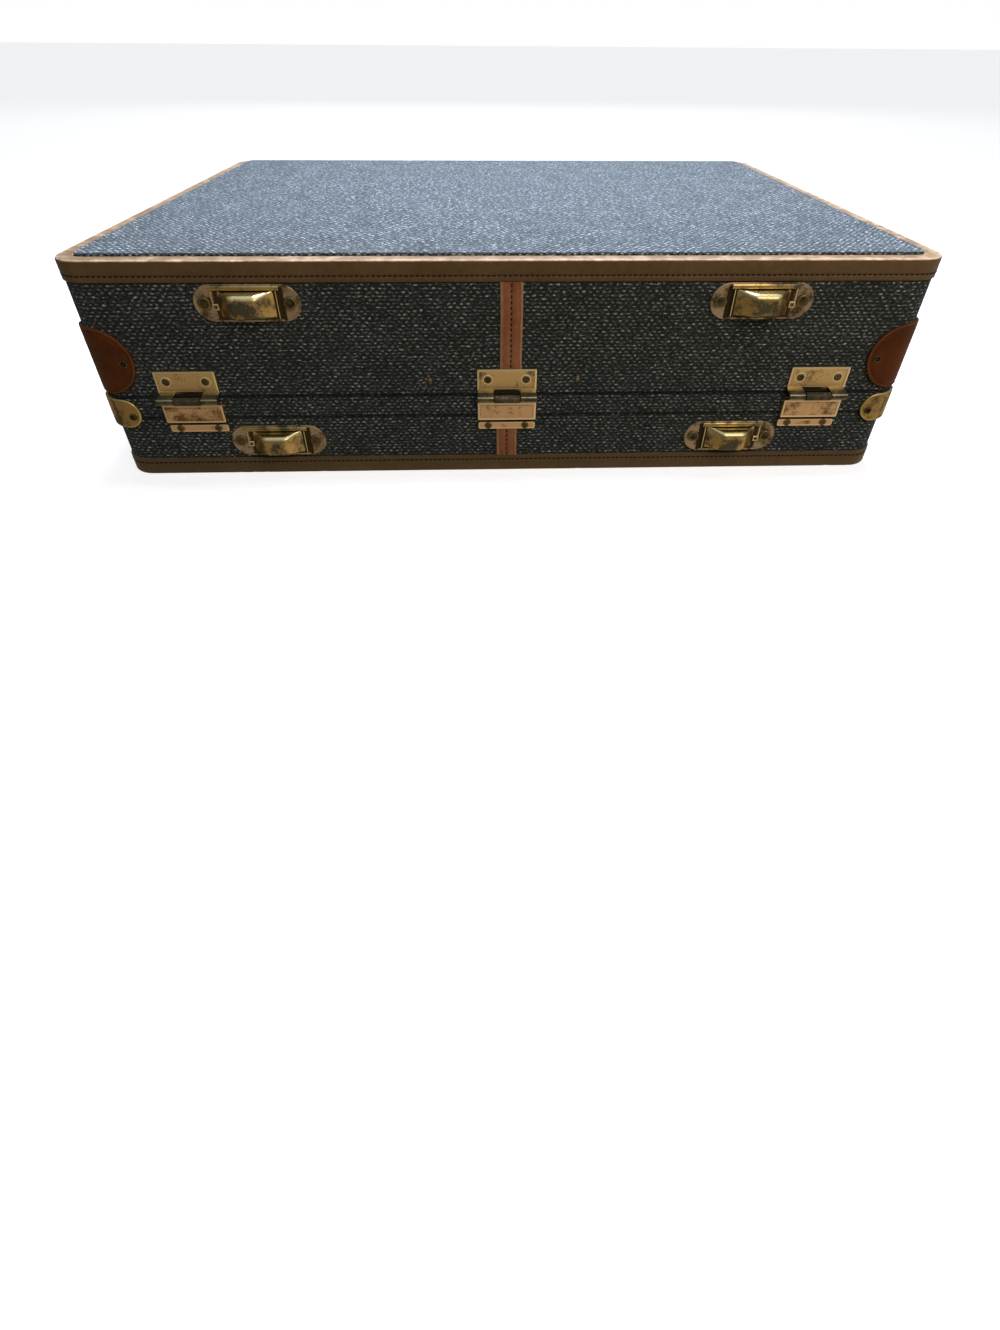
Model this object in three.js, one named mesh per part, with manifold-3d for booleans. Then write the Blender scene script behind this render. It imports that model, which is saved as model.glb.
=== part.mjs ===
// A cloth-covered, leather-bound travelling case of two hard halves, lying flat on the shallow one.
//
// Millimetres, +Z up. The hinge side with its four feet faces -Y, the side with the handle and the
// two latches faces +Y, and the case lies on z = 0. The lid is the shallow half underneath, and the
// deep half above it opens by turning back over the hinge pins.
import * as THREE from 'three';
import { mergeVertices } from 'three/addons/utils/BufferGeometryUtils.js';
import Module from 'manifold-3d';

const wasm = await Module();
wasm.setup();

// ---------------------------------------------------------------- driving dimensions
// The case over its leather binding.
const caseWidth = 610; // left to right
const caseHeight = 440; // hinge side to handle side
const lidDepth = 67;
const deepDepth = 98.5;
const partingGap = 0.5; // between the closed halves
const cornerRadius = 20; // the upright corners
const edgeRadius = 2; // the bound edges round each panel

// The walls, from the outside in.
const bindingThick = 2;
const bindingProud = 1.2; // how far the leather stands over the cloth
const bindingOnSide = 14.5;
const bindingOnPanel = 11.5;
const boardThick = 4;
const liningThick = 0.8;
const deepPadding = 1.8; // how far the padded cloth of the deep half's panel stands over the binding
const paddingRound = 1.5; // the rounded edge of that cloth
const fitGap = 0.3; // between pieces that lie against each other
const cutBeyond = 10; // how far a cutting shape reaches past what it cuts

// The frames round the two mouths.
const lidRimHeight = 16.5;
const lidRimProud = 0.8; // over the cloth
const deepRimHeight = 14;
const tongueHeight = 6; // the lid's lip, which rises inside the deep half
const tongueThick = 2;
const tongueGap = 0.7;

// Corner guards: how far they reach along each side, and their height.
const brassGuard = { reach: 28.2, thick: 1.9, bottom: 43, height: 23.5 };
const leatherGuard = { reach: 36, thick: 2, bottom: 70.8, height: 50.2 };

// The leather strip down the middle of the hinge side. Its part on the deep half sits off the middle.
const stripWidth = 16;
const stripThick = 1.3;
const deepStripShift = 2.8;

// Rivet heads: the top as a share of the foot, and the sides of their outline.
const rivetTaper = 0.72;
const rivetSides = 12;

// The four feet on the hinge side.
const footSpacing = 178.4; // from the case's middle
const lidFootGap = 2.8; // from the lower binding up to a foot
const deepFootGap = 0.8; // from the upper binding down to a foot
const footPlate = { width: 73, height: 25.8, thick: 1.2 };
const footRivet = { radius: 4.75, spacing: 29, thick: 1.6 };
const footBumper = { foot: 47, crest: 15, height: 20, proud: 12.3, footThick: 1.2, ease: 1, easeRun: 1.5 };

// The three hinges.
const hingeSpacing = 236.4; // outer hinges, from the case's middle
const hinge = { width: 44.5, knuckle: 19.5, knuckleGap: 0.4, leafThick: 1.5, barrelRadius: 2.75 };
const armShare = 0.7; // half the arm that carries the middle knuckle, as a share of the barrel's radius
const armRoot = 1; // how far that arm runs down inside the block
const pinStandoff = 8; // hinge pin's centre from the cloth
const pinRadius = 1.25;
const pinGap = 0.15; // round a pin, in its knuckles
const deepLeafTop = 21; // over the pin
const deepRivetUp = 12.9;
const lidBlock = { top: 4.8, bottom: 19.8, proud: 4 }; // under the pin
const lidTabBottom = 28.7;
const lidRivetDown = 25.6;
const hingeRivet = { radius: 3.2, spacing: 14.3, thick: 1.2 };

// The two latches on the handle side.
const latchSpacing = 190; // from the case's middle
const latchPlate = { width: 60, height: 22, thick: 3.5, radius: 4, up: 3.8, slotRadius: 0.5 };
const haspOffset = 13; // the hasp's middle, inwards from the latch's middle
const hasp = { width: 22, thick: 1.8, overlap: 1.5, play: 0.4 };
const haspLip = { length: 5, out: 2.2, tip: 1, rise: 0.6 }; // the thumb's hold at the hasp's end
const haspPin = { down: 10.5, radius: 1, knuckle: 11, barrelRadius: 2.3 };
const haspPlate = { height: 15, thick: 1.4 };
const slideOffset = 15; // the button's rest place, outwards from the latch's middle
const slideTravel = 6;
const slideButton = { width: 9, height: 12, thick: 3, radius: 1.5 };
const slideNeck = { width: 4.4, height: 6, standoff: 1, radius: 0.5 };

// The handle.
const handleSpan = 130; // between the middles of its two mounts
const handleUp = 17; // pivot over the parting line
const handlePivotOut = 9.5; // pivot's centre from the cloth
const handleMount = { width: 26, height: 30, thick: 1.6, radius: 5, lugThick: 4, lugRadius: 4.6 };
const ring = { width: 19, length: 17, wireRadius: 1.8 };
const grip = { drop: 34, bend: 12, wrap: 4, thick: 15, height: 20, endThick: 9, endWidth: 11 };
const gripFullShare = 0.6; // the share of the padded bar that has its full section

// ---------------------------------------------------------------- derived sizes
const totalDepth = lidDepth + partingGap + deepDepth;
const pinHeight = lidDepth + partingGap / 2;
const boardInset = bindingThick + fitGap;
const liningInset = boardInset + boardThick + fitGap;
const lidFootHeight = bindingOnSide + lidFootGap + footPlate.height / 2;
const deepFootHeight = totalDepth - bindingOnSide - deepFootGap - footPlate.height / 2;
const rimBottom = lidDepth - lidRimHeight;
const tongueInset = boardInset + boardThick + tongueGap;
const footReach = footBumper.proud - bindingProud;
const handleReach = handlePivotOut + grip.thick / 2 - bindingProud;
const caseY = (footReach - handleReach) / 2; // puts the origin under the middle of the whole
const clothY = caseHeight / 2 - bindingProud; // the cloth of the two long sides, from the case's middle
const latchPlateBottom = lidDepth + partingGap + latchPlate.up;
const haspPinHeight = pinHeight - haspPin.down;
const haspTop = latchPlateBottom + latchPlate.height + hasp.overlap;
const haspStandoff = fitGap + latchPlate.thick + fitGap + hasp.thick / 2 + hasp.play;

const xAxis = new THREE.Vector3(1, 0, 0);
const yAxis = new THREE.Vector3(0, 1, 0);
const zAxis = new THREE.Vector3(0, 0, 1);

// ---------------------------------------------------------------- materials
function surface(name, color, roughness, metalness) {
  const material = new THREE.MeshStandardMaterial({ color, roughness, metalness });
  material.name = name;
  return material;
}

const tweed = surface('tweed', '#59606a', 0.95, 0);
const bindingLeather = surface('binding_leather', '#a27b4a', 0.55, 0);
const guardLeather = surface('guard_leather', '#5a2f1a', 0.5, 0);
const stripLeather = surface('strip_leather', '#7a4628', 0.55, 0);
const handleLeather = surface('handle_leather', '#6b3f22', 0.45, 0);
const brass = surface('brass', '#9c8050', 0.4, 1);
const board = surface('board', '#9a7f5c', 0.8, 0);
const rimWood = surface('rim_wood', '#565c64', 0.9, 0);
const lining = surface('lining', '#b59a72', 0.9, 0);

// ---------------------------------------------------------------- solids
function solidOf(geometry) {
  geometry.deleteAttribute('normal');
  geometry.deleteAttribute('uv');
  const merged = mergeVertices(geometry, 1e-4);
  const vertProperties = merged.getAttribute('position').array;
  const triVerts = new Uint32Array(merged.index.array);
  return new wasm.Manifold(new wasm.Mesh({ numProp: 3, vertProperties, triVerts }));
}

function meshOf(name, solid, material) {
  const { vertProperties, triVerts } = solid.getMesh();
  const indexed = new THREE.BufferGeometry();
  indexed.setAttribute('position', new THREE.BufferAttribute(vertProperties, 3));
  indexed.setIndex(new THREE.BufferAttribute(triVerts, 1));
  const geometry = indexed.toNonIndexed();
  geometry.computeVertexNormals();
  const mesh = new THREE.Mesh(geometry, material);
  mesh.name = name;
  return mesh;
}

// A rectangle with rounded corners, centred on x, y.
function roundedRect(width, height, radius, x = 0, y = 0) {
  const round = Math.min(radius, width / 2, height / 2);
  const right = width / 2 - round;
  const top = height / 2 - round;
  const shape = new THREE.Shape();
  shape.absarc(x + right, y + top, round, 0, Math.PI / 2);
  shape.absarc(x - right, y + top, round, Math.PI / 2, Math.PI);
  shape.absarc(x - right, y - top, round, Math.PI, Math.PI * 1.5);
  shape.absarc(x + right, y - top, round, Math.PI * 1.5, Math.PI * 2);
  shape.closePath();
  return shape;
}

function circle(radius, x, y) {
  const shape = new THREE.Shape();
  shape.absarc(x, y, radius, 0, Math.PI * 2);
  return shape;
}

function polygon(points) {
  return new THREE.Shape(points.map(([x, y]) => new THREE.Vector2(x, y)));
}

// A flat shape made into a slab from z = low to z = high.
function slab(shape, low, high, curveSegments = 3) {
  const geometry = new THREE.ExtrudeGeometry(shape, {
    depth: high - low,
    bevelEnabled: false,
    curveSegments,
  });
  geometry.translate(0, 0, low);
  return solidOf(geometry);
}

// A section drawn as (out from the face, up) and run along x, centred on x = middle.
function alongX(shape, width, middle = 0, curveSegments = 7) {
  const geometry = new THREE.ExtrudeGeometry(shape, {
    depth: width,
    bevelEnabled: false,
    curveSegments,
  });
  geometry.translate(0, 0, -width / 2);
  geometry.rotateY(-Math.PI / 2);
  geometry.translate(middle, 0, 0);
  return solidOf(geometry);
}

// The case's plan, moved in from the outer face of the binding by inset.
function plan(inset) {
  return roundedRect(caseWidth - 2 * inset, caseHeight - 2 * inset, cornerRadius - inset);
}

// A wall that follows the plan, between two insets and two heights.
function wall(outerInset, innerInset, low, high) {
  const shape = plan(outerInset);
  shape.holes.push(plan(innerInset));
  return slab(shape, low, high);
}

// A round-headed rivet's head on a face, standing out from z = low.
function rivetHead({ radius, thick }, x, y, low) {
  const geometry = new THREE.CylinderGeometry(radius * rivetTaper, radius, thick, rivetSides);
  geometry.rotateX(Math.PI / 2);
  geometry.translate(x, y, low + thick / 2);
  return solidOf(geometry);
}

// ---------------------------------------------------------------- one half of the shell
// z = 0 is the half's own outer face and z = depth its mouth.
function bindingSolid() {
  const outline = plan(edgeRadius);
  const block = solidOf(
    new THREE.ExtrudeGeometry(outline, {
      depth: 2 * bindingOnSide,
      bevelThickness: edgeRadius,
      bevelSize: edgeRadius,
      bevelSegments: 3,
      curveSegments: 3,
    }).translate(0, 0, edgeRadius),
  );
  return block
    .intersect(slab(plan(-fitGap), -fitGap, bindingOnSide))
    .subtract(slab(plan(bindingThick), bindingThick, 2 * bindingOnSide))
    .subtract(slab(plan(bindingOnPanel), -fitGap, 2 * bindingOnSide));
}

// The cloth of a panel, from its board side at bindingThick out to the height rise over the binding.
// A panel that stands over its binding is padded and has a rounded edge.
function panelClothSolid(rise) {
  const inset = bindingOnPanel + fitGap;
  if (rise <= 0) return slab(plan(inset), -rise, bindingThick);
  const padded = solidOf(
    new THREE.ExtrudeGeometry(plan(inset + paddingRound), {
      depth: 2 * bindingThick,
      bevelThickness: paddingRound,
      bevelSize: paddingRound,
      bevelSegments: 2,
      curveSegments: 3,
    }).translate(0, 0, paddingRound - rise),
  );
  return padded.intersect(slab(plan(0), -rise - fitGap, bindingThick));
}

function liningSolid(top) {
  const bottom = boardInset + boardThick + fitGap;
  const outside = slab(plan(liningInset), bottom, top);
  return outside.subtract(slab(plan(liningInset + liningThick), bottom + liningThick, top + 1));
}

function shellHalf(prefix, { boardTop, clothTop, panelRise }) {
  const boardBack = boardInset + boardThick;
  const group = new THREE.Group();
  group.add(
    meshOf(`${prefix}_panel_board`, slab(plan(boardInset), boardInset, boardBack), board),
    meshOf(`${prefix}_side_board`, wall(boardInset, boardBack, boardBack + fitGap, boardTop), board),
    meshOf(`${prefix}_panel_cloth`, panelClothSolid(panelRise), tweed),
    meshOf(
      `${prefix}_side_cloth`,
      wall(bindingProud, bindingThick, bindingOnSide + fitGap, clothTop),
      tweed,
    ),
    meshOf(`${prefix}_binding`, bindingSolid(), bindingLeather),
    meshOf(`${prefix}_lining`, liningSolid(boardTop), lining),
  );
  return group;
}

function lidRim() {
  const frame = wall(bindingProud - lidRimProud, tongueInset + tongueThick, rimBottom, lidDepth);
  const tongue = wall(tongueInset, tongueInset + tongueThick, rimBottom, lidDepth + tongueHeight);
  return meshOf('lid_rim', frame.add(tongue), rimWood);
}

function deepRim() {
  const low = deepDepth - deepRimHeight;
  return meshOf('deep_rim', wall(boardInset, boardInset + boardThick, low, deepDepth), rimWood);
}

// ---------------------------------------------------------------- corner guards
// A guard wraps one upright corner and ends in a half-round nose on each side.
function cornerGuard(name, guard, innerInset, sideX, sideY, material) {
  const { reach, thick, bottom, height } = guard;
  const middle = bottom + height / 2;
  const cutter = { depth: cornerRadius + cutBeyond, bevelEnabled: false, curveSegments: 5 };
  const nose = (edge) => roundedRect(2 * reach, height, height / 2, edge, middle);
  const longSide = new THREE.ExtrudeGeometry(nose(caseWidth / 2), cutter);
  longSide.rotateX(Math.PI / 2);
  longSide.translate(0, caseHeight / 2 + cutBeyond, 0);
  const shortSide = new THREE.ExtrudeGeometry(nose(caseHeight / 2), cutter);
  shortSide.applyMatrix4(new THREE.Matrix4().makeBasis(yAxis, zAxis, xAxis));
  shortSide.translate(caseWidth / 2 - cornerRadius, 0, 0);
  const shell = wall(innerInset - thick, innerInset, bottom, bottom + height);
  const solid = shell.intersect(solidOf(longSide).add(solidOf(shortSide)));
  const mesh = meshOf(name, solid, material);
  mesh.scale.set(sideX, sideY, 1);
  return mesh;
}

// ---------------------------------------------------------------- pieces on the two long sides
// These are drawn on the face: x to the right, y up from the floor, z out from the cloth.
function strip(name, low, high, middle = 0) {
  const shape = polygon(box2d(middle - stripWidth / 2, low, middle + stripWidth / 2, high));
  return meshOf(name, slab(shape, fitGap, fitGap + stripThick), stripLeather);
}

function footParts(name, x, y) {
  const { width, height, thick } = footPlate;
  const top = fitGap + thick;
  let plate = slab(roundedRect(width, height, height / 2), fitGap, top, 4);
  for (const side of [-1, 1]) {
    plate = plate.add(rivetHead(footRivet, side * footRivet.spacing, 0, top));
  }
  const low = top + fitGap;
  const { foot, crest, proud, footThick, ease, easeRun } = footBumper;
  const section = polygon([
    [low, -foot / 2],
    [low + footThick, -foot / 2],
    [proud - ease, -crest / 2 - easeRun],
    [proud, -crest / 2],
    [proud, crest / 2],
    [proud - ease, crest / 2 + easeRun],
    [low + footThick, foot / 2],
    [low, foot / 2],
  ]);
  const saddle = alongX(section, footBumper.height).rotate([0, 0, 90]);
  const parts = [meshOf(`${name}_plate`, plate, brass), meshOf(`${name}_bumper`, saddle, brass)];
  for (const part of parts) part.position.set(x, y, 0);
  return parts;
}

// A barrel on the pin, its hole clearing the pin by pinGap.
function barrel(radius, pin, out, up, width, middle) {
  const shape = circle(radius, out, up);
  shape.holes.push(circle(pin + pinGap, out, up));
  return alongX(shape, width, middle);
}

function pinHole(pin, out, up, width) {
  return alongX(circle(pin + pinGap, out, up), width + 2);
}

function deepLeaf(name, x) {
  const { width, knuckle, knuckleGap, leafThick, barrelRadius } = hinge;
  const bottom = barrelRadius - leafThick;
  const notch = knuckle + 2 * knuckleGap;
  const side = (width - notch) / 2;
  const sideMiddle = (notch + side) / 2;
  const outside = fitGap + leafThick;
  let leaf = alongX(polygon(box2d(fitGap, bottom, outside, deepLeafTop)), width);
  for (const sign of [-1, 1]) {
    const middle = sign * sideMiddle;
    leaf = leaf
      .add(alongX(polygon(box2d(fitGap, bottom, pinStandoff, barrelRadius)), side, middle))
      .add(alongX(circle(barrelRadius, pinStandoff, 0), side, middle))
      .add(rivetHead(hingeRivet, sign * hingeRivet.spacing, deepRivetUp, outside));
  }
  return placedOnPin(meshOf(name, leaf.subtract(pinHole(pinRadius, pinStandoff, 0, width)), brass), x);
}

function lidLeaf(name, x) {
  const { width, knuckle, leafThick, barrelRadius } = hinge;
  const { top, bottom, proud } = lidBlock;
  const overRim = lidRimProud + fitGap;
  const underRim = rimBottom - pinHeight - fitGap;
  const outside = fitGap + leafThick;
  const armHalf = barrelRadius * armShare;
  const section = polygon([
    [fitGap, -lidTabBottom],
    [outside, -lidTabBottom],
    [outside, -bottom],
    [proud, -bottom],
    [proud, -top],
    [overRim, -top],
    [overRim, underRim],
    [fitGap, underRim],
  ]);
  const arm = polygon([
    [overRim, -top - armRoot],
    [proud, -top - armRoot],
    [pinStandoff + armHalf, -armHalf],
    [pinStandoff - armHalf, -armHalf],
  ]);
  let leaf = alongX(section, width)
    .add(alongX(arm, knuckle))
    .add(alongX(circle(barrelRadius, pinStandoff, 0), knuckle));
  for (const sign of [-1, 1]) {
    leaf = leaf.add(rivetHead(hingeRivet, sign * hingeRivet.spacing, -lidRivetDown, outside));
  }
  return placedOnPin(meshOf(name, leaf.subtract(pinHole(pinRadius, pinStandoff, 0, width)), brass), x);
}

function hingePin(name, x) {
  return placedOnPin(meshOf(name, alongX(circle(pinRadius, pinStandoff, 0), hinge.width), brass), x);
}

function placedOnPin(mesh, x) {
  mesh.position.set(x, pinHeight, 0);
  return mesh;
}

// The corners of a rectangle from its low and high corner.
function box2d(x0, y0, x1, y1) {
  return [
    [x0, y0],
    [x1, y0],
    [x1, y1],
    [x0, y1],
  ];
}

// ---------------------------------------------------------------- latches
// Drawn like the pieces above. side is -1 or 1, and the button lies on the outer side.
function latchPlateMesh(name, x, side) {
  const { width, height, thick, radius, slotRadius } = latchPlate;
  const slotWidth = slideNeck.width + slideTravel + 2 * fitGap;
  const slotMiddle = side * (slideOffset + slideTravel / 2);
  const plate = roundedRect(width, height, radius);
  plate.holes.push(roundedRect(slotWidth, slideNeck.height + 2 * fitGap, slotRadius, slotMiddle, 0));
  const mesh = meshOf(name, slab(plate, fitGap, fitGap + thick), brass);
  mesh.position.set(x, latchPlateBottom + height / 2, 0);
  return mesh;
}

function latchSlide(name, x, side) {
  const { width, height, thick, radius } = slideButton;
  const plateTop = fitGap + latchPlate.thick;
  const low = plateTop + fitGap;
  const head = slab(roundedRect(width, height, radius), low, low + thick);
  const neckShape = roundedRect(slideNeck.width, slideNeck.height, slideNeck.radius);
  const neck = slab(neckShape, slideNeck.standoff, low + thick / 2);
  const mesh = meshOf(name, head.add(neck), brass);
  mesh.position.set(x + side * slideOffset, latchPlateBottom + latchPlate.height / 2, 0);
  return mesh;
}

function haspMesh(name, x) {
  const top = haspTop - haspPinHeight;
  const inner = -hasp.thick / 2;
  const outer = hasp.thick / 2;
  const plate = alongX(polygon(box2d(inner, 0, outer, top)), hasp.width);
  const foot = alongX(circle(haspPin.barrelRadius, 0, 0), haspPin.knuckle);
  const clearance = haspPin.barrelRadius + fitGap;
  const besideFoot = alongX(polygon(box2d(-clearance, -clearance, clearance, clearance)), hasp.width + 1);
  const footRoom = alongX(polygon(box2d(-clearance, -clearance, clearance, clearance)), haspPin.knuckle);
  const lip = alongX(
    polygon([
      [inner, top - hasp.thick],
      [outer, top - haspLip.length],
      [outer + haspLip.out, top],
      [outer + haspLip.tip, top + haspLip.rise],
      [inner, top],
    ]),
    hasp.width,
  );
  const solid = plate
    .subtract(besideFoot.subtract(footRoom))
    .add(foot)
    .add(lip)
    .subtract(pinHole(haspPin.radius, 0, 0, hasp.width));
  const mesh = meshOf(name, solid, brass);
  mesh.position.set(x, haspPinHeight, haspStandoff);
  return mesh;
}

function haspPlateMesh(name, x) {
  const { height, thick } = haspPlate;
  const overRim = lidRimProud + fitGap;
  const top = haspPin.barrelRadius;
  const side = (hasp.width - haspPin.knuckle) / 2 - fitGap;
  const sideMiddle = (hasp.width - side) / 2;
  const inner = overRim - haspStandoff;
  let plate = alongX(polygon(box2d(inner, top - height, inner + thick, top)), hasp.width);
  for (const sign of [-1, 1]) {
    plate = plate
      .add(alongX(circle(haspPin.barrelRadius, 0, 0), side, sign * sideMiddle))
      .add(alongX(polygon(box2d(inner, -top, 0, 0)), side, sign * sideMiddle));
  }
  const clearance = haspPin.barrelRadius + fitGap;
  const room = alongX(circle(clearance, 0, 0), haspPin.knuckle + 2 * fitGap);
  const solid = plate.subtract(room).subtract(pinHole(haspPin.radius, 0, 0, hasp.width));
  const mesh = meshOf(name, solid, brass);
  mesh.position.set(x, haspPinHeight, haspStandoff);
  return mesh;
}

function haspPinMesh(name, x) {
  const mesh = meshOf(name, alongX(circle(haspPin.radius, 0, 0), hasp.width), brass);
  mesh.position.set(x, haspPinHeight, haspStandoff);
  return mesh;
}

// ---------------------------------------------------------------- handle
// Origin on the handle's pivot: x to the right, y up, z out from the cloth.
function handleMountMesh(name, x) {
  const { width, height, thick, radius, lugThick, lugRadius } = handleMount;
  const back = fitGap - handlePivotOut;
  const hole = ring.wireRadius + 2 * pinGap;
  const lugSection = polygon(box2d(back, -lugRadius, 0, lugRadius));
  const solid = slab(roundedRect(width, height, radius), back, back + thick)
    .add(alongX(lugSection, lugThick))
    .add(alongX(circle(lugRadius, 0, 0), lugThick))
    .subtract(alongX(circle(hole, 0, 0), lugThick + 2));
  const mesh = meshOf(name, solid, brass);
  mesh.position.x = x;
  return mesh;
}

// A wire loop: its upper bar turns in the mount's lug and its lower bar holds the grip's end.
function ringMesh(name, x) {
  const { width, length, wireRadius } = ring;
  const right = width / 2 - wireRadius;
  const low = -(length - 2 * wireRadius);
  const bar = (from, to) => {
    const start = new THREE.Vector3(...from);
    const end = new THREE.Vector3(...to);
    const geometry = new THREE.CylinderGeometry(wireRadius, wireRadius, start.distanceTo(end), 10);
    const turn = new THREE.Quaternion().setFromUnitVectors(yAxis, end.clone().sub(start).normalize());
    geometry.applyQuaternion(turn);
    geometry.translate(...start.add(end).multiplyScalar(0.5).toArray());
    return solidOf(geometry);
  };
  const corners = [
    [-right, 0, 0],
    [right, 0, 0],
    [right, low, 0],
    [-right, low, 0],
  ];
  const loop = corners
    .map((corner, i) => {
      const ball = new THREE.SphereGeometry(wireRadius, 10, 6).translate(...corner);
      return bar(corner, corners[(i + 1) % 4]).add(solidOf(ball));
    })
    .reduce((whole, piece) => whole.add(piece));
  const mesh = meshOf(name, loop, brass);
  mesh.position.x = x;
  return mesh;
}

// The leather grip: a strap that wraps both rings, with a padded bar between its two bends.
function gripMesh(name) {
  const { drop, bend, wrap, thick, height, endThick, endWidth } = grip;
  const end = handleSpan / 2;
  const ringLow = 2 * ring.wireRadius - ring.length;
  const outline = new THREE.Path();
  outline.moveTo(-end, ringLow + wrap);
  outline.lineTo(-end, bend - drop);
  outline.absarc(bend - end, bend - drop, bend, Math.PI, Math.PI * 1.5);
  outline.lineTo(end - bend, -drop);
  outline.absarc(end - bend, bend - drop, bend, Math.PI * 1.5, Math.PI * 2);
  outline.lineTo(end, ringLow + wrap);
  const steps = 28;
  const points = outline.getSpacedPoints(steps).map((p) => new THREE.Vector3(p.x, p.y, 0));
  const extrudePath = new THREE.CatmullRomCurve3(points);
  const section = new THREE.Shape();
  section.absellipse(0, 0, endWidth / 2, endThick / 2, 0, Math.PI * 2);
  const strap = new THREE.ExtrudeGeometry(section, { steps, extrudePath, curveSegments: 5 });
  const half = end - bend;
  const full = half * gripFullShare;
  const profile = [[0, -half], [endWidth / 2, -half], [height / 2, -full]]
    .concat([[height / 2, full], [endWidth / 2, half], [0, half]])
    .map(([x, y]) => new THREE.Vector2(x, y));
  const pad = new THREE.LatheGeometry(profile, 12);
  pad.scale(1, 1, thick / height);
  pad.rotateZ(Math.PI / 2);
  pad.translate(0, -drop, 0);
  const ringHole = alongX(circle(ring.wireRadius + fitGap, 0, ringLow), handleSpan + 2 * ring.width);
  return meshOf(name, solidOf(strap).add(solidOf(pad)).subtract(ringHole), handleLeather);
}

// ---------------------------------------------------------------- the whole case
const travellingCase = new THREE.Group();
travellingCase.position.y = caseY;

const lidShell = shellHalf('lid', {
  boardTop: rimBottom - fitGap,
  clothTop: rimBottom - fitGap,
  panelRise: -bindingProud,
});
travellingCase.add(lidShell, lidRim());

const deepShell = shellHalf('deep', {
  boardTop: deepDepth - deepRimHeight - fitGap,
  clothTop: deepDepth,
  panelRise: deepPadding,
});
deepShell.add(deepRim());
deepShell.rotation.x = Math.PI;
deepShell.position.z = totalDepth;
travellingCase.add(deepShell);

const brassInset = bindingProud - lidRimProud - fitGap;
const leatherInset = bindingProud - fitGap;
for (const [front, sideY] of [['hinge_side', -1], ['handle_side', 1]]) {
  for (const [hand, sideX] of [['left', -1], ['right', 1]]) {
    const place = `${hand}_${front}`;
    travellingCase.add(
      cornerGuard(`lid_corner_${place}`, brassGuard, brassInset, sideX, sideY, brass),
      cornerGuard(`deep_corner_${place}`, leatherGuard, leatherInset, sideX, sideY, guardLeather),
    );
  }
}

const hingeSide = new THREE.Group();
hingeSide.position.y = -clothY;
hingeSide.rotation.x = Math.PI / 2;
hingeSide.add(
  strip('lid_strip', bindingOnSide + fitGap, pinHeight - lidTabBottom - fitGap),
  strip('deep_strip', pinHeight + deepLeafTop + fitGap, totalDepth - bindingOnSide - fitGap, deepStripShift),
);
for (const [hand, x] of [['left', -footSpacing], ['right', footSpacing]]) {
  hingeSide.add(
    ...footParts(`lid_foot_${hand}`, x, lidFootHeight),
    ...footParts(`deep_foot_${hand}`, x, deepFootHeight),
  );
}
for (const [place, x] of [['left', -hingeSpacing], ['middle', 0], ['right', hingeSpacing]]) {
  hingeSide.add(
    lidLeaf(`hinge_lid_leaf_${place}`, x),
    deepLeaf(`hinge_deep_leaf_${place}`, x),
    hingePin(`hinge_pin_${place}`, x),
  );
}
travellingCase.add(hingeSide);

const handleSide = new THREE.Group();
handleSide.rotation.z = Math.PI;
const handleFace = new THREE.Group();
handleFace.position.y = -clothY;
handleFace.rotation.x = Math.PI / 2;
handleSide.add(handleFace);
for (const [hand, side] of [['left', 1], ['right', -1]]) {
  const x = side * latchSpacing;
  const haspX = x - side * haspOffset;
  handleFace.add(
    latchPlateMesh(`latch_plate_${hand}`, x, side),
    latchSlide(`latch_slide_${hand}`, x, side),
    haspMesh(`hasp_${hand}`, haspX),
    haspPlateMesh(`hasp_plate_${hand}`, haspX),
    haspPinMesh(`hasp_pin_${hand}`, haspX),
  );
}

const handle = new THREE.Group();
handle.position.set(0, pinHeight + handleUp, handlePivotOut);
for (const [hand, side] of [['left', 1], ['right', -1]]) {
  const x = (side * handleSpan) / 2;
  handle.add(handleMountMesh(`handle_mount_${hand}`, x), ringMesh(`handle_ring_${hand}`, x));
}
handle.add(gripMesh('handle_grip'));
handleFace.add(handle);
travellingCase.add(handleSide);

export default travellingCase;
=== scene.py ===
import math

import bpy
import numpy as np
from mathutils import Matrix, Vector


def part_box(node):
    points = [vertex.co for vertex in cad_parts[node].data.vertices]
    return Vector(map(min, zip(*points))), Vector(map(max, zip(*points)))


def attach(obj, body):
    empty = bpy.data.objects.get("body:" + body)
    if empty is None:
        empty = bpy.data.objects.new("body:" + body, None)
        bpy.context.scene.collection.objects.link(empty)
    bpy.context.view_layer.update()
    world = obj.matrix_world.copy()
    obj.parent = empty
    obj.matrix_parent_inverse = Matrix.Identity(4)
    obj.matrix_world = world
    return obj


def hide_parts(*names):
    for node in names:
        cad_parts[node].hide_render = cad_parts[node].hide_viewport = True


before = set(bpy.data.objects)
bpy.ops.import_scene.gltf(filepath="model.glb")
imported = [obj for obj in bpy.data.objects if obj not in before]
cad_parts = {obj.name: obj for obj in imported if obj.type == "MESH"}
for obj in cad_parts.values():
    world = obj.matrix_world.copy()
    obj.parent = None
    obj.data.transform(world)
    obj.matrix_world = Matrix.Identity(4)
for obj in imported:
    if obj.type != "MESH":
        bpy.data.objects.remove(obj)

mm = 0.001                      # every shape below is worked out in millimetres
rng = np.random.default_rng(11)
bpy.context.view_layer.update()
print("frame loaded:", len(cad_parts), "nodes")


def boxOf(node):
    # a CAD node's lowest and highest corner in millimetres
    low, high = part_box(node)
    return np.array(low) / mm, np.array(high) / mm


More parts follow.
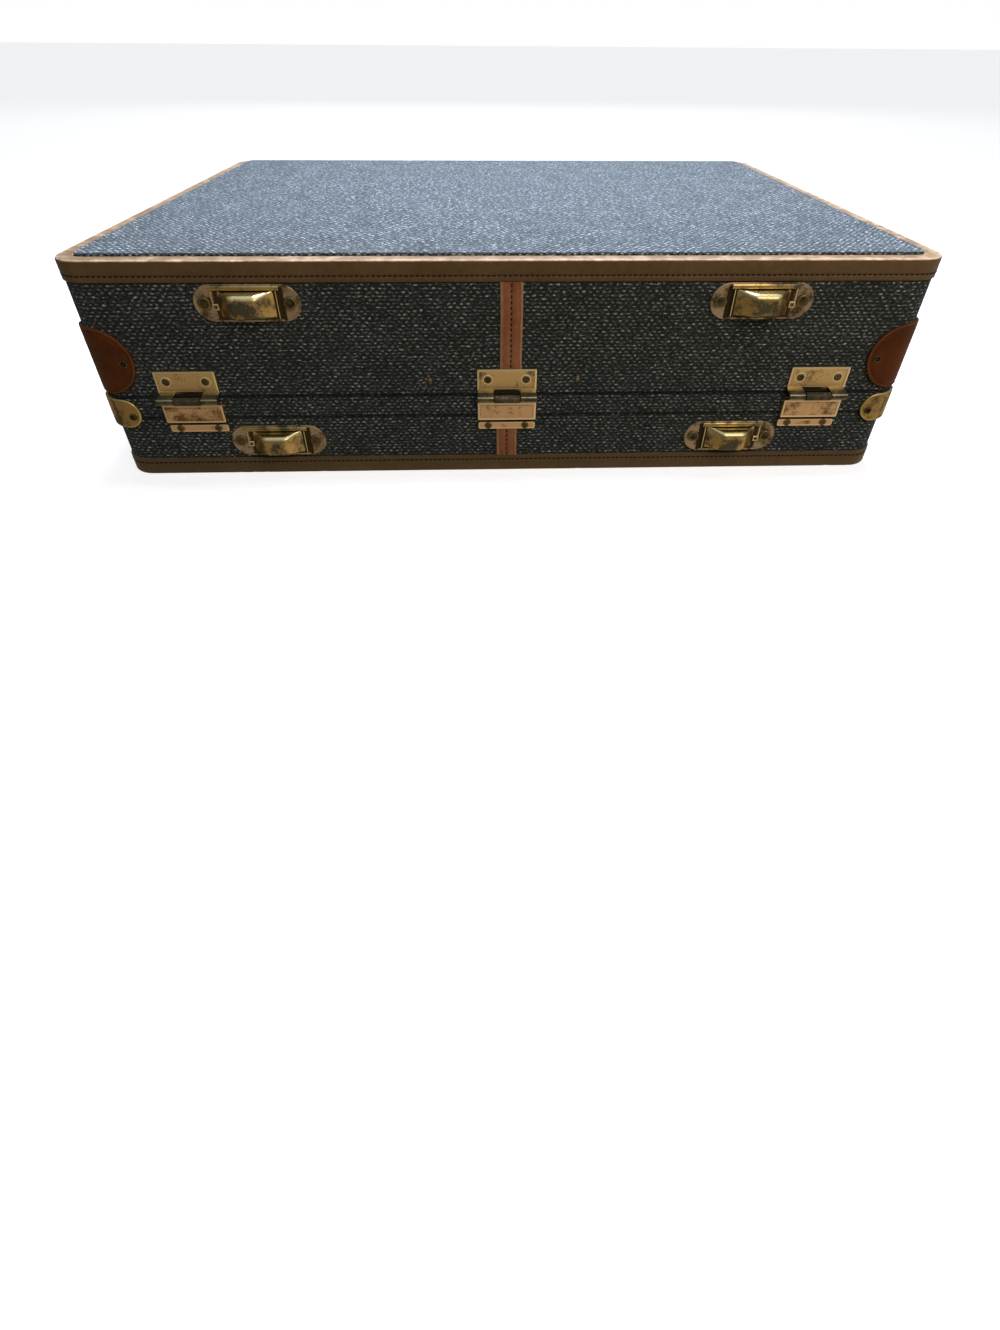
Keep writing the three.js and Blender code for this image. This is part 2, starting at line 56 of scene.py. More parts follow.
# What the frame gives: the case over its binding, the cloth behind it, and the lines between the halves.
caseLow, caseHigh = boxOf("lid_binding")
topHeight = boxOf("deep_binding")[1][2]
clothLow, clothHigh = boxOf("deep_side_cloth")
rimLow, rimHigh = boxOf("lid_rim")
pinLow, pinHigh = boxOf("hinge_pin_middle")
pinCentre = (pinLow + pinHigh) / 2
hingeY = clothLow[1]            # cloth of the hinge side, which faces -Y
handleY = clothHigh[1]          # cloth of the handle side, which faces +Y
proud = caseHigh[0] - clothHigh[0]
bandHeight = caseHigh[2] - caseLow[2]
deepMouth = clothLow[2]
rimBottom = rimLow[2]
rimProud = clothLow[0] - rimLow[0]
lidMouth = 2 * pinCentre[2] - deepMouth
caseMiddle = (caseLow + caseHigh) / 2

case = {
    "cornerRadius": 20.0,       # plan, at the outer face of the binding
    "edgeRadius": 1.6,          # binding, between side and panel
    "clothThick": 0.8,
    "bandOnPanel": 11.5,
    "gap": 0.3,
}


# ---- materials

def linearOf(hexColour):
    # sRGB hex to the linear RGBA that a shader takes
    values = [int(hexColour[i:i + 2], 16) / 255 for i in (1, 3, 5)]
    return [v / 12.92 if v <= 0.04045 else ((v + 0.055) / 1.055) ** 2.4 for v in values] + [1.0]


def addNode(tree, kind, inputs=None, stops=None, **settings):
    # one shader node, with its settings, its values or links, and a ramp's colour stops
    node = tree.nodes.new("ShaderNode" + kind)
    for key, value in settings.items():
        setattr(node, key, value)
    for key, value in (inputs or {}).items():
        if isinstance(value, bpy.types.NodeSocket):
            tree.links.new(value, node.inputs[key])
        else:
            node.inputs[key].default_value = value
    if stops:
        ramp = node.color_ramp
        while len(ramp.elements) < len(stops):
            ramp.elements.new(0.5)
        for element, (at, colour) in zip(ramp.elements, stops):
            element.position = at
            element.color = linearOf(colour)
    return node


def newMaterial(name):
    material = bpy.data.materials.new(name)
    material.use_nodes = True
    material.node_tree.nodes.clear()
    return material, material.node_tree


# Wool tweed in a coarse hopsack weave, glued over the boards: pale floats in half-offset rows on a dark
# ground of slate, navy and olive yarn, a woolly halo at low angles, and painted shade, near black, where
# the attribute for wear and painted light is over 0.
def wovenTweed(name, floatColours, groundColours, haze):
    yarn = {"floatPitch": 4.6, "rowPitch": 2.58, "roundness": 0.2, "wander": 0.75, "fibre": 0.34,
            "nub": (2.0, 1.2), "patch": 24.0, "relief": 0.6}
    material, tree = newMaterial(name)
    flat = addNode(tree, "UVMap", uv_map="metres").outputs[0]
    sway = addNode(tree, "TexNoise", {"Vector": flat, "Scale": 210.0, "Detail": 2.0}).outputs["Color"]
    sway = addNode(tree, "VectorMath", {0: sway, 1: (0.5, 0.5, 0.5)}, operation="SUBTRACT").outputs[0]
    sway = addNode(tree, "VectorMath", {0: sway, "Scale": 3 * yarn["wander"] * mm},
                   operation="SCALE").outputs[0]
    place = addNode(tree, "VectorMath", {0: flat, 1: sway}, operation="ADD").outputs[0]
    axes = addNode(tree, "SeparateXYZ", {0: place}).outputs
    fibre = addNode(tree, "TexNoise", {"Vector": flat, "Scale": 1 / (yarn["fibre"] * mm), "Detail": 3.0,
                                       "Roughness": 0.7}).outputs["Fac"]
    patch = addNode(tree, "TexNoise", {"Vector": flat, "Scale": 1 / (yarn["patch"] * mm), "Detail": 4.0,
                                       "Roughness": 0.6}).outputs["Fac"]
    nub = addNode(tree, "Mapping", {"Vector": flat, "Scale": (1000 / yarn["nub"][0],
                                                              1000 / yarn["nub"][1], 1)}).outputs[0]
    nub = addNode(tree, "TexNoise", {"Vector": nub, "Scale": 1.0, "Detail": 2.0,
                                     "Roughness": 0.65}).outputs["Fac"]
    # row = cos(pi y / row pitch); every other row is negative there, so row's sign shifts its floats by
    # half a pitch. float = |row| + roundness * sign(row) * cos(2 pi x / float pitch), highest in the
    # middle of each float.
    row = addNode(tree, "Math", {0: axes["Y"], 1: math.pi / (yarn["rowPitch"] * mm)},
                  operation="MULTIPLY").outputs[0]
    row = addNode(tree, "Math", {0: row}, operation="COSINE").outputs[0]
    run = addNode(tree, "Math", {0: axes["X"], 1: 2 * math.pi / (yarn["floatPitch"] * mm)},
                  operation="MULTIPLY").outputs[0]
    run = addNode(tree, "Math", {0: run}, operation="COSINE").outputs[0]
    shift = addNode(tree, "Math", {0: row}, operation="SIGN").outputs[0]
    run = addNode(tree, "Math", {0: run, 1: shift}, operation="MULTIPLY").outputs[0]
    rise = addNode(tree, "Math", {0: row}, operation="ABSOLUTE").outputs[0]
    rise = addNode(tree, "Math", {0: run, 1: yarn["roundness"], 2: rise}, operation="MULTIPLY_ADD").outputs[0]
    rise = addNode(tree, "Math", {0: fibre, 1: 0.4, 2: rise}, operation="MULTIPLY_ADD").outputs[0]
    rise = addNode(tree, "Math", {0: nub, 1: 1.3, 2: rise}, operation="MULTIPLY_ADD").outputs[0]
    onTop = addNode(tree, "MapRange", {"Value": rise, "From Min": 1.6, "From Max": 2.04},
                    interpolation_type="SMOOTHSTEP").outputs[0]
    # one tone for about one float: noise stretched to the float's shape
    cells = addNode(tree, "Mapping", {"Vector": flat, "Scale": (1000 / 3.4, 1000 / 1.9, 1)}).outputs[0]
    chance = addNode(tree, "TexNoise", {"Vector": cells, "Scale": 1.0, "Detail": 1.0}).outputs["Fac"]
    tone = addNode(tree, "Math", {0: patch, 1: 0.15, 2: chance}, operation="MULTIPLY_ADD").outputs[0]
    tone = addNode(tree, "MapRange", {"Value": tone, "From Min": 0.38, "From Max": 0.78}).outputs[0]
    pale = addNode(tree, "ValToRGB", {0: tone}, stops=floatColours).outputs[0]
    deep = addNode(tree, "Math", {0: chance, 1: 0.5, 2: nub}, operation="MULTIPLY_ADD").outputs[0]
    deep = addNode(tree, "Math", {0: patch, 1: 0.35, 2: deep}, operation="MULTIPLY_ADD").outputs[0]
    deep = addNode(tree, "MapRange", {"Value": deep, "From Min": 0.7, "From Max": 1.14}).outputs[0]
    deep = addNode(tree, "ValToRGB", {0: deep}, stops=groundColours).outputs[0]
    deep = addNode(tree, "MixRGB", {0: fibre, 1: deep, 2: addNode(tree, "Gamma",
                                                                  {0: deep, 1: 0.75}).outputs[0]}).outputs[0]
    colour = addNode(tree, "MixRGB", {0: onTop, 1: deep, 2: pale}).outputs[0]
    # painted shade: near black where the attribute is over 0, in the gaps and tucks at the cloth's edges
    soilAndShade = addNode(tree, "Attribute", attribute_name="wear").outputs["Fac"]
    colour = addNode(tree, "MixRGB", {0: soilAndShade, 1: colour, 2: linearOf("#0e0d0b")}).outputs[0]
    height = addNode(tree, "Math", {0: fibre, 1: 0.5, 2: onTop}, operation="MULTIPLY_ADD").outputs[0]
    height = addNode(tree, "Math", {0: nub, 1: 0.6, 2: height}, operation="MULTIPLY_ADD").outputs[0]
    bump = addNode(tree, "Bump", {"Height": height, "Distance": yarn["relief"] * mm, "Strength": 0.6})
    shader = addNode(tree, "BsdfPrincipled", {
        "Base Color": colour, "Roughness": 0.93, "Normal": bump.outputs[0], "IOR": 1.45,
        "Sheen Weight": haze, "Sheen Roughness": 0.5, "Sheen Tint": linearOf("#c3d4e6"),
        "Specular IOR Level": 0.2})
    addNode(tree, "OutputMaterial", {"Surface": shader.outputs[0]})
    return material


# Vegetable-tanned cowhide, cut in bands: fine pebbled grain, darker in its folds, rubbed pale and dry
# where the wear attribute says that hands and shelves have touched it, and olive-dark where it is under
# 0, which is real soil on the binding's lip and painted shade on the lid binding's sides by the floor.
def tannedLeather(name, hide, dark, rubbed, gloss=0.52, shine=0.42, grain=0.85):
    material, tree = newMaterial(name)
    place = addNode(tree, "TexCoord").outputs["Object"]
    cloud = addNode(tree, "TexNoise", {"Vector": place, "Scale": 26.0, "Detail": 5.0,
                                       "Roughness": 0.6}).outputs["Fac"]
    mottle = addNode(tree, "TexNoise", {"Vector": place, "Scale": 240.0, "Detail": 4.0}).outputs["Fac"]
    pebble = addNode(tree, "TexVoronoi", {"Vector": place, "Scale": 1 / (grain * mm)}).outputs["Distance"]
    wear = addNode(tree, "Attribute", attribute_name="wear").outputs["Fac"]
    scuff = addNode(tree, "TexNoise", {"Vector": place, "Scale": 95.0, "Detail": 7.0,
                                       "Roughness": 0.72}).outputs["Fac"]
    tone = addNode(tree, "Math", {0: mottle, 1: 0.5, 2: cloud}, operation="MULTIPLY_ADD").outputs[0]
    tone = addNode(tree, "MapRange", {"Value": tone, "From Min": 0.5, "From Max": 1.0}).outputs[0]
    colour = addNode(tree, "MixRGB", {0: tone, 1: linearOf(dark), 2: linearOf(hide)}).outputs[0]
    # olive-dark where the attribute is under 0: soil on the binding's lip, and painted shade on the lid
    # binding's low sides
    soilAndShade = addNode(tree, "Math", {0: wear, 1: -1.0}, operation="MULTIPLY", use_clamp=True).outputs[0]
    colour = addNode(tree, "MixRGB", {0: soilAndShade, 1: colour, 2: linearOf("#57512f")}).outputs[0]
    rubbing = addNode(tree, "Math", {0: wear, 1: 0.62, 2: scuff}, operation="MULTIPLY_ADD").outputs[0]
    rubbing = addNode(tree, "MapRange", {"Value": rubbing, "From Min": 0.66, "From Max": 1.02}).outputs[0]
    colour = addNode(tree, "MixRGB", {0: rubbing, 1: colour, 2: linearOf(rubbed)}).outputs[0]
    rough = addNode(tree, "Math", {0: rubbing, 1: 0.22, 2: gloss}, operation="MULTIPLY_ADD").outputs[0]
    rough = addNode(tree, "Math", {0: mottle, 1: 0.16, 2: rough}, operation="MULTIPLY_ADD").outputs[0]
    rough = addNode(tree, "Math", {0: rough, 1: 0.08}, operation="SUBTRACT").outputs[0]
    height = addNode(tree, "Math", {0: scuff, 1: 0.8, 2: pebble}, operation="MULTIPLY_ADD").outputs[0]
    bump = addNode(tree, "Bump", {"Height": height, "Distance": 0.16 * mm, "Strength": 0.5})
    shader = addNode(tree, "BsdfPrincipled", {
        "Base Color": colour, "Roughness": rough, "Normal": bump.outputs[0], "IOR": 1.5,
        "Specular IOR Level": shine})
    addNode(tree, "OutputMaterial", {"Surface": shader.outputs[0]})
    return material


# Pressed yellow brass under old lacquer: satin rolling marks, brown tarnish in patches and where the wear
# attribute is under 0, which in gaps, channels and rivet rims is painted shade, and bright metal where it
# marks a rubbed edge, which on the hinge curls and the foot saddle is a painted highlight.
def oldBrass(name, metal, tarnish, bright, spread, satin=0.34, dents=0.45):
    material, tree = newMaterial(name)
    place = addNode(tree, "TexCoord").outputs["Object"]
    wear = addNode(tree, "Attribute", attribute_name="wear").outputs["Fac"]
    patch = addNode(tree, "TexNoise", {"Vector": place, "Scale": 90.0, "Detail": 6.0,
                                       "Roughness": 0.62}).outputs["Fac"]
    speck = addNode(tree, "TexNoise", {"Vector": place, "Scale": 700.0, "Detail": 3.0}).outputs["Fac"]
    rolled = addNode(tree, "Mapping", {"Vector": place, "Scale": (60.0, 60.0, 2600.0)}).outputs[0]
    lines = addNode(tree, "TexNoise", {"Vector": rolled, "Scale": 1.0, "Detail": 2.0}).outputs["Fac"]
    tarnishAndPaintedDark = addNode(tree, "Math", {0: speck, 1: 0.3, 2: patch}, operation="MULTIPLY_ADD").outputs[0]
    # under 0 the attribute adds tarnish colour: real on some parts, painted shade in gaps, channels and rivet
    # rims
    tarnishAndPaintedDark = addNode(tree, "Math", {0: wear, 1: -0.35, 2: tarnishAndPaintedDark}, operation="MULTIPLY_ADD").outputs[0]
    tarnishAndPaintedDark = addNode(tree, "MapRange", {"Value": tarnishAndPaintedDark, "From Min": 0.78 - spread,
                                       "From Max": 0.95 - spread}).outputs[0]
    colour = addNode(tree, "MixRGB", {0: wear, 1: linearOf(metal), 2: linearOf(bright)}).outputs[0]
    colour = addNode(tree, "MixRGB", {0: tarnishAndPaintedDark, 1: colour, 2: linearOf(tarnish)}).outputs[0]
    rough = addNode(tree, "Math", {0: tarnishAndPaintedDark, 1: 0.24, 2: satin}, operation="MULTIPLY_ADD").outputs[0]
    rough = addNode(tree, "Math", {0: wear, 1: -0.1, 2: rough}, operation="MULTIPLY_ADD").outputs[0]
    height = addNode(tree, "Math", {0: lines, 1: 0.5, 2: patch}, operation="MULTIPLY_ADD").outputs[0]
    bump = addNode(tree, "Bump", {"Height": height, "Distance": 0.08 * mm, "Strength": dents})
    shader = addNode(tree, "BsdfPrincipled", {
        "Base Color": colour, "Roughness": rough, "Metallic": 1.0, "Normal": bump.outputs[0]})
    addNode(tree, "OutputMaterial", {"Surface": shader.outputs[0]})
    return material


# Waxed linen thread, twisted: a dark dull cord with a slight sheen.
def waxedThread(name, colourHex):
    material, tree = newMaterial(name)
    place = addNode(tree, "TexCoord").outputs["Object"]
    twist = addNode(tree, "TexNoise", {"Vector": place, "Scale": 1900.0, "Detail": 2.0}).outputs["Fac"]
    soilAndShade = addNode(tree, "TexNoise", {"Vector": place, "Scale": 70.0, "Detail": 3.0}).outputs["Fac"]
    colour = addNode(tree, "MixRGB", {0: soilAndShade, 1: linearOf("#1c0d06"), 2: linearOf(colourHex)}).outputs[0]
    bump = addNode(tree, "Bump", {"Height": twist, "Distance": 0.1 * mm, "Strength": 0.6})
    shader = addNode(tree, "BsdfPrincipled", {
        "Base Color": colour, "Roughness": 0.7, "Normal": bump.outputs[0], "Specular IOR Level": 0.2})
    addNode(tree, "OutputMaterial", {"Surface": shader.outputs[0]})
    return material


# Sawn and sanded poplar plywood and stained beech: straight grain with darker late-wood lines.
def sandedWood(name, pale, late, dull):
    material, tree = newMaterial(name)
    place = addNode(tree, "TexCoord").outputs["Object"]
    along = addNode(tree, "Mapping", {"Vector": place, "Scale": (9.0, 160.0, 160.0)}).outputs[0]
    rings = addNode(tree, "TexNoise", {"Vector": along, "Scale": 1.6, "Detail": 6.0, "Roughness": 0.6,
                                       "Distortion": 0.6}).outputs["Fac"]
    pores = addNode(tree, "TexNoise", {"Vector": along, "Scale": 14.0, "Detail": 2.0}).outputs["Fac"]
    colour = addNode(tree, "ValToRGB", {0: rings}, stops=[(0.32, late), (0.52, pale), (0.7, dull)]).outputs[0]
    height = addNode(tree, "Math", {0: pores, 1: 0.5, 2: rings}, operation="MULTIPLY_ADD").outputs[0]
    bump = addNode(tree, "Bump", {"Height": height, "Distance": 0.15 * mm, "Strength": 0.4})
    rough = addNode(tree, "Math", {0: pores, 1: 0.2, 2: 0.55}, operation="MULTIPLY_ADD").outputs[0]
    shader = addNode(tree, "BsdfPrincipled", {"Base Color": colour, "Roughness": rough,
                                              "Normal": bump.outputs[0]})
    addNode(tree, "OutputMaterial", {"Surface": shader.outputs[0]})
    return material


# Glazed cotton twill lining: fine diagonal ribs 1.2 mm apart, age spots, a faint polish.
# Real twill is nearer 0.5 mm; it is drawn coarser so that it shows.
def cottonTwill(name, pale, deep):
    material, tree = newMaterial(name)
    place = addNode(tree, "UVMap", uv_map="metres").outputs[0]
    turned = addNode(tree, "Mapping", {"Vector": place, "Rotation": (0, 0, math.radians(38))}).outputs[0]
    ribs = addNode(tree, "TexWave", {"Vector": turned, "Scale": 1000 / (1.2 * 2 * math.pi) / 1.6,
                                     "Distortion": 0.8, "Detail": 1.0}, bands_direction="X").outputs["Fac"]
    spots = addNode(tree, "TexNoise", {"Vector": place, "Scale": 14.0, "Detail": 6.0}).outputs["Fac"]
    threads = addNode(tree, "TexNoise", {"Vector": place, "Scale": 900.0, "Detail": 2.0}).outputs["Fac"]
    tone = addNode(tree, "Math", {0: ribs, 1: 0.35, 2: spots}, operation="MULTIPLY_ADD").outputs[0]
    tone = addNode(tree, "MapRange", {"Value": tone, "From Min": 0.35, "From Max": 0.95}).outputs[0]
    colour = addNode(tree, "MixRGB", {0: tone, 1: linearOf(deep), 2: linearOf(pale)}).outputs[0]
    height = addNode(tree, "Math", {0: threads, 1: 0.4, 2: ribs}, operation="MULTIPLY_ADD").outputs[0]
    bump = addNode(tree, "Bump", {"Height": height, "Distance": 0.18 * mm, "Strength": 0.5})
    shader = addNode(tree, "BsdfPrincipled", {
        "Base Color": colour, "Roughness": 0.74, "Normal": bump.outputs[0], "Sheen Weight": 0.25,
        "Sheen Roughness": 0.4})
    addNode(tree, "OutputMaterial", {"Surface": shader.outputs[0]})
    return material


paleYarns = [(0.05, "#3a4244"), (0.35, "#707f80"), (0.62, "#9daead"), (0.9, "#f4fbf8")]
darkYarns = [(0.0, "#15170f"), (0.4, "#2c302a"), (0.68, "#2b3036"), (1.0, "#6b706a")]
tweed = wovenTweed("wool_tweed_hopsack_woven", paleYarns, darkYarns, 0.2)
bindingHide = tannedLeather("cowhide_binding_veg_tanned", "#856943", "#674d2b", "#d8ba94")
stripHide = tannedLeather("cowhide_strip_russet_dyed", "#d69164", "#9b5b37", "#e6b488")
guardHide = tannedLeather("cowhide_guard_chestnut_moulded", "#7c421b", "#50280d", "#985d2f", 0.6, 0.2)
handleHide = tannedLeather("cowhide_handle_oiled", "#7a4524", "#4d260f", "#a8703f", 0.4)
hingeBrass = oldBrass("brass_hinge_lacquered_satin", "#cbab76", "#66573a", "#ead9a8", 0.1, 0.4)
blockBrass = oldBrass("brass_block_bare_pitted", "#cfab80", "#7d5f3a", "#ecd2a8", 0.1, 0.45)
# its tarnish colour also paints shade on the hinge curls, their apron and the strip under the block
knuckleBrass = oldBrass("brass_knuckle_oxidised_olive", "#6a6048", "#4d4535", "#b3a474", 0.14, 0.46)
guardBrass = oldBrass("brass_guard_pressed_browned", "#a48653", "#6a562c", "#c3aa6c", 0.14, 0.42)
footPlateBrass = oldBrass("brass_foot_plate_dulled", "#a58f72", "#55432d", "#c8b184", 0.17, 0.46)
# its bright and tarnish colours also paint the saddle's highlight and its dark reflection
footBrass = oldBrass("brass_foot_pressed_polished", "#b3955c", "#56503f", "#d8cb93", 0.17, 0.3, 0.12)
darkRivet = oldBrass("brass_rivet_oxidised_brown", "#5a4c34", "#2b2418", "#85734c", 0.14, 0.45)
seamThread = waxedThread("linen_thread_waxed_brown", "#3c1a0b")
plywood = sandedWood("poplar_plywood_sanded", "#b89a70", "#8d6f49", "#c7ad85")
beech = sandedWood("beech_frame_stained", "#8a6a45", "#5c4229", "#9b7b55")
twill = cottonTwill("cotton_twill_glazed", "#c6ab7f", "#9b7f58")
print("materials made")


# ---- meshes

def loft(rings, uv=None, wear=None, closed=False):
    # A skin over closed rings of points: quads between neighbouring rings, and a fan to the middle of
    # the first and of the last ring, unless closed joins the last ring to the first.
    rows, count = rings.shape[:2]
    points = rings.reshape(-1, 3)
    index = np.arange(rows * count).reshape(rows, count)
    wrap = np.vstack([index, index[:1]]) if closed else index
    wrap = np.hstack([wrap, wrap[:, :1]])
    if uv is None:
        across = np.linalg.norm(np.diff(rings, axis=0, append=rings[:1]), axis=2).mean(1)
        around = np.linalg.norm(np.diff(rings, axis=1, append=rings[:, :1]), axis=2).mean(0)
        v = np.concatenate([[0], np.cumsum(across)])[:len(wrap)]
        u = np.concatenate([[0], np.cumsum(around)])
        uv = np.stack(np.meshgrid(u, v), -1)
    uv = uv * mm
    cut = [(slice(None, -1), slice(None, -1)), (slice(1, None), slice(None, -1)),
           (slice(1, None), slice(1, None)), (slice(None, -1), slice(1, None))]
    quads = np.stack([wrap[c] for c in cut], -1).reshape(-1, 4)
    quadUv = np.stack([uv[c] for c in cut], -2).reshape(-1, 4, 2)
    wear = np.zeros(rows * count) if wear is None else np.broadcast_to(wear, (rows, count)).reshape(-1)
    tris = np.zeros((0, 3), int)
    triUv = np.zeros((0, 3, 2))
    if not closed:
        for end, ring in ((0, index[0]), (rows - 1, index[-1])):
            middle = len(points)
            points = np.vstack([points, rings[end].mean(0)])
            wear = np.append(wear, wear[ring].mean())
            fan = np.stack([ring, np.roll(ring, -1), np.full(count, middle)], -1)
            fan = fan[:, ::-1] if end == 0 else fan
            fanUv = np.stack([uv[end, :-1], uv[end, 1:], np.broadcast_to(uv[end, :-1].mean(0),
                                                                         (count, 2))], 1)
            fanUv = fanUv[:, ::-1] if end == 0 else fanUv
            tris = np.vstack([tris, fan])
            triUv = np.vstack([triUv, fanUv])
        # the fans above turn the same way as the quads when the rings run up the axis
        tris, triUv = tris[:, ::-1], triUv[:, ::-1]
    corners = np.vstack([quads[:, [0, 1, 2]], quads[:, [0, 2, 3]], tris])
    a, b, c = (points[corners[:, k]] - points.mean(0) for k in range(3))
    if np.einsum("ij,ij->", a, np.cross(b, c)) < 0:         # inside out: turn every face round
        quads, quadUv = quads[:, ::-1], quadUv[:, ::-1]
        tris, triUv = tris[:, ::-1], triUv[:, ::-1]
    return {"points": points, "quads": quads, "tris": tris, "quadUv": quadUv, "triUv": triUv, "wear": wear}


def joined(*shapes):
    # several shapes as one
    whole = {key: [] for key in ("points", "quads", "tris", "quadUv", "triUv", "wear")}
    start = 0
    for shape in shapes:
        for key, value in shape.items():
            whole[key].append(value + start if key in ("quads", "tris") else value)
        start += len(shape["points"])
    return {key: np.concatenate(value) for key, value in whole.items()}


def makePiece(name, shape, material, body, nodes=(), sharp=38, second=None):
    # Writes a shape into a mesh and hangs it on its CAD body. second = (material, test on the faces'
    # middles) gives part of the faces another material. The attribute for wear and painted light is over
    # 0 where metal or leather is rubbed bright or brass carries a painted highlight, and under 0 where it is
    # tarnished or soiled or carries painted shade (gaps, channels, rivet rims, the lid's low binding); on
    # cloth, over 0 is painted shade.
    mesh = bpy.data.meshes.new(name)
    faces = shape["quads"].tolist() + shape["tris"].tolist()
    mesh.from_pydata((shape["points"] * mm).tolist(), [], faces)
    layer = mesh.uv_layers.new(name="metres")
    uv = np.concatenate([shape["quadUv"].reshape(-1, 2), shape["triUv"].reshape(-1, 2)])
    layer.data.foreach_set("uv", uv.astype(np.float32).ravel())
    wear = mesh.attributes.new("wear", "FLOAT", "POINT")
    wear.data.foreach_set("value", shape["wear"].astype(np.float32))
    mesh.materials.append(material)
    if second:
        mesh.materials.append(second[0])
        middles = np.zeros(len(faces) * 3)
        mesh.polygons.foreach_get("center", middles)
        mesh.polygons.foreach_set("material_index", second[1](middles.reshape(-1, 3) / mm).astype(int))
    mesh.polygons.foreach_set("use_smooth", np.ones(len(faces), bool))
    mesh.set_sharp_from_angle(angle=math.radians(sharp))
    mesh.update()
    piece = bpy.data.objects.new(name, mesh)
    bpy.context.scene.collection.objects.link(piece)
    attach(piece, body)
    if nodes:
        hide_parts(*nodes)
    return piece


def arc(centre, radius, start, stop, steps):
    # points on an arc, angles in degrees, from start to stop
    angle = np.radians(np.linspace(start, stop, steps + 1))
    return np.stack([centre[0] + radius * np.cos(angle), centre[1] + radius * np.sin(angle)], -1)


def outlineRings(width, height, radius, insets, perCorner=6, between=0):
    # Rounded rectangle moved in by each inset: corner point = sign * (half size - inset - r) + r * direction,
    # with r = radius - inset, never under a hair's breadth. Result: (insets, points, 2).
    signs, directions = [], []
    quarter = [(1, 1), (-1, 1), (-1, -1), (1, -1)]
    for k in range(4):
        angle = np.pi / 2 * (k + np.linspace(0, 1, perCorner + 1))
        signs += [quarter[k]] * (perCorner + 1)
        directions += list(zip(np.cos(angle), np.sin(angle)))
        for t in np.arange(1, between + 1) / (between + 1):
            signs.append(tuple((1 - t) * np.array(quarter[k]) + t * np.array(quarter[(k + 1) % 4])))
            directions.append(directions[-1])
    signs, directions = np.array(signs, float), np.array(directions)
    inset = np.asarray(insets, float)[:, None]
    r = np.maximum(radius - inset, 0.02)
    half = np.stack([np.maximum(width / 2 - inset - r, 0.0), np.maximum(height / 2 - inset - r, 0.0)], -1)
    return signs[None] * half + r[..., None] * directions[None]


def onHinge(x, up, out):
    # the hinge side: x to the right, up from the floor, out from the cloth
    return np.stack(np.broadcast_arrays(x, hingeY - out, up), -1)


def onHandle(x, up, out):
    # the handle side, seen from outside, so that its right is -X
    return np.stack(np.broadcast_arrays(-x, handleY + out, up), -1)


def plate(side, x, up, width, height, radius, profile, perCorner=6, wearAt=()):
    # A plate on one long side: the outline moved in by profile[:, 0] stands profile[:, 1] out of the cloth.
    profile = np.array(profile, float)
    rings = outlineRings(width, height, radius, profile[:, 0], perCorner)
    wear = np.zeros((len(profile), 1))
    wear[list(wearAt)] = 1.0
    return loft(side(x + rings[..., 0], up + rings[..., 1], profile[:, 1][:, None]), wear=wear)


def turnedShape(side, x, up, profile, count=20, wearAt=(), axis="out"):
    # A turned shape: radius profile[:, 0] at distance profile[:, 1] along its axis, which stands out of
    # the side, or lies along x through (out, up).
    profile = np.array(profile, float)
    angle = np.linspace(0, 2 * np.pi, count, endpoint=False)
    a = profile[:, 0][:, None] * np.cos(angle)
    b = profile[:, 0][:, None] * np.sin(angle)
    along = profile[:, 1][:, None]
    wear = np.zeros((len(profile), 1))
    wear[list(wearAt)] = 1.0
    if axis == "out":
        return loft(side(x + a, up + b, along), wear=wear)
    return loft(side(x + along, up[1] + b, up[0] + a), wear=wear)


def bar(side, section, x0, x1, bevel=0.4, wear=0.0):
    # A section drawn as (out, up) and run along x, drawn in towards its middle at both ends.
    section = np.array(section, float)
    middle = section.mean(0)
    shrink = 1 - bevel / np.abs(section - middle).max()
    stations = np.array([x0, x0 + bevel * 0.3, x0 + bevel, x1 - bevel, x1 - bevel * 0.3, x1])
    scale = np.array([shrink, 1 - (1 - shrink) * 0.3, 1, 1, 1 - (1 - shrink) * 0.3, shrink])
    drawn = middle + (section - middle) * scale[:, None, None]
    edge = np.array([1, 1, 0, 0, 1, 1])[:, None] * wear if np.isscalar(wear) else np.ones((6, 1)) * wear
    return loft(side(stations[:, None], drawn[..., 1], drawn[..., 0]), wear=edge)


def rivet(side, x, up, radius, base, rise, count=18):
    # A rivet's head: a rounded rim, a shallow ring and a low dome, rise over its base.
    profile = [(radius, base), (radius, base + 0.35 * rise), (0.96 * radius, base + 0.6 * rise),
               (0.86 * radius, base + 0.8 * rise), (0.74 * radius, base + 0.86 * rise),
               (0.64 * radius, base + 0.8 * rise), (0.5 * radius, base + 0.86 * rise),
               (0.28 * radius, base + 0.96 * rise), (0.04 * radius, base + rise)]
    head = turnedShape(side, x, up, profile, count)
    head["wear"] += np.repeat([0, 0, 0.3, 0.6, 0.4, 0, 0, 0, 0, 0, 0], [count] * 9 + [1, 1])
    return head


# ---- the plan of the case

planRadius = case["cornerRadius"]
straightX = (caseHigh[0] - caseLow[0]) / 2 - planRadius
straightY = (caseHigh[1] - caseLow[1]) / 2 - planRadius
quarterTurn = planRadius * np.pi / 2
legs = [straightX, quarterTurn, 2 * straightY, quarterTurn, 2 * straightX, quarterTurn,
        2 * straightY, quarterTurn, straightX]
legEnds = np.concatenate([[0], np.cumsum(legs)])
legCentreX = straightX * np.array([0, 1, 1, 1, 1, -1, -1, -1, -1, 0])
legCentreY = straightY * np.array([-1, -1, -1, 1, 1, 1, 1, -1, -1, -1]) + caseMiddle[1]
legAngle = np.radians([-90, -90, 0, 0, 90, 90, 180, 180, 270, 270])
planLength = legEnds[-1]


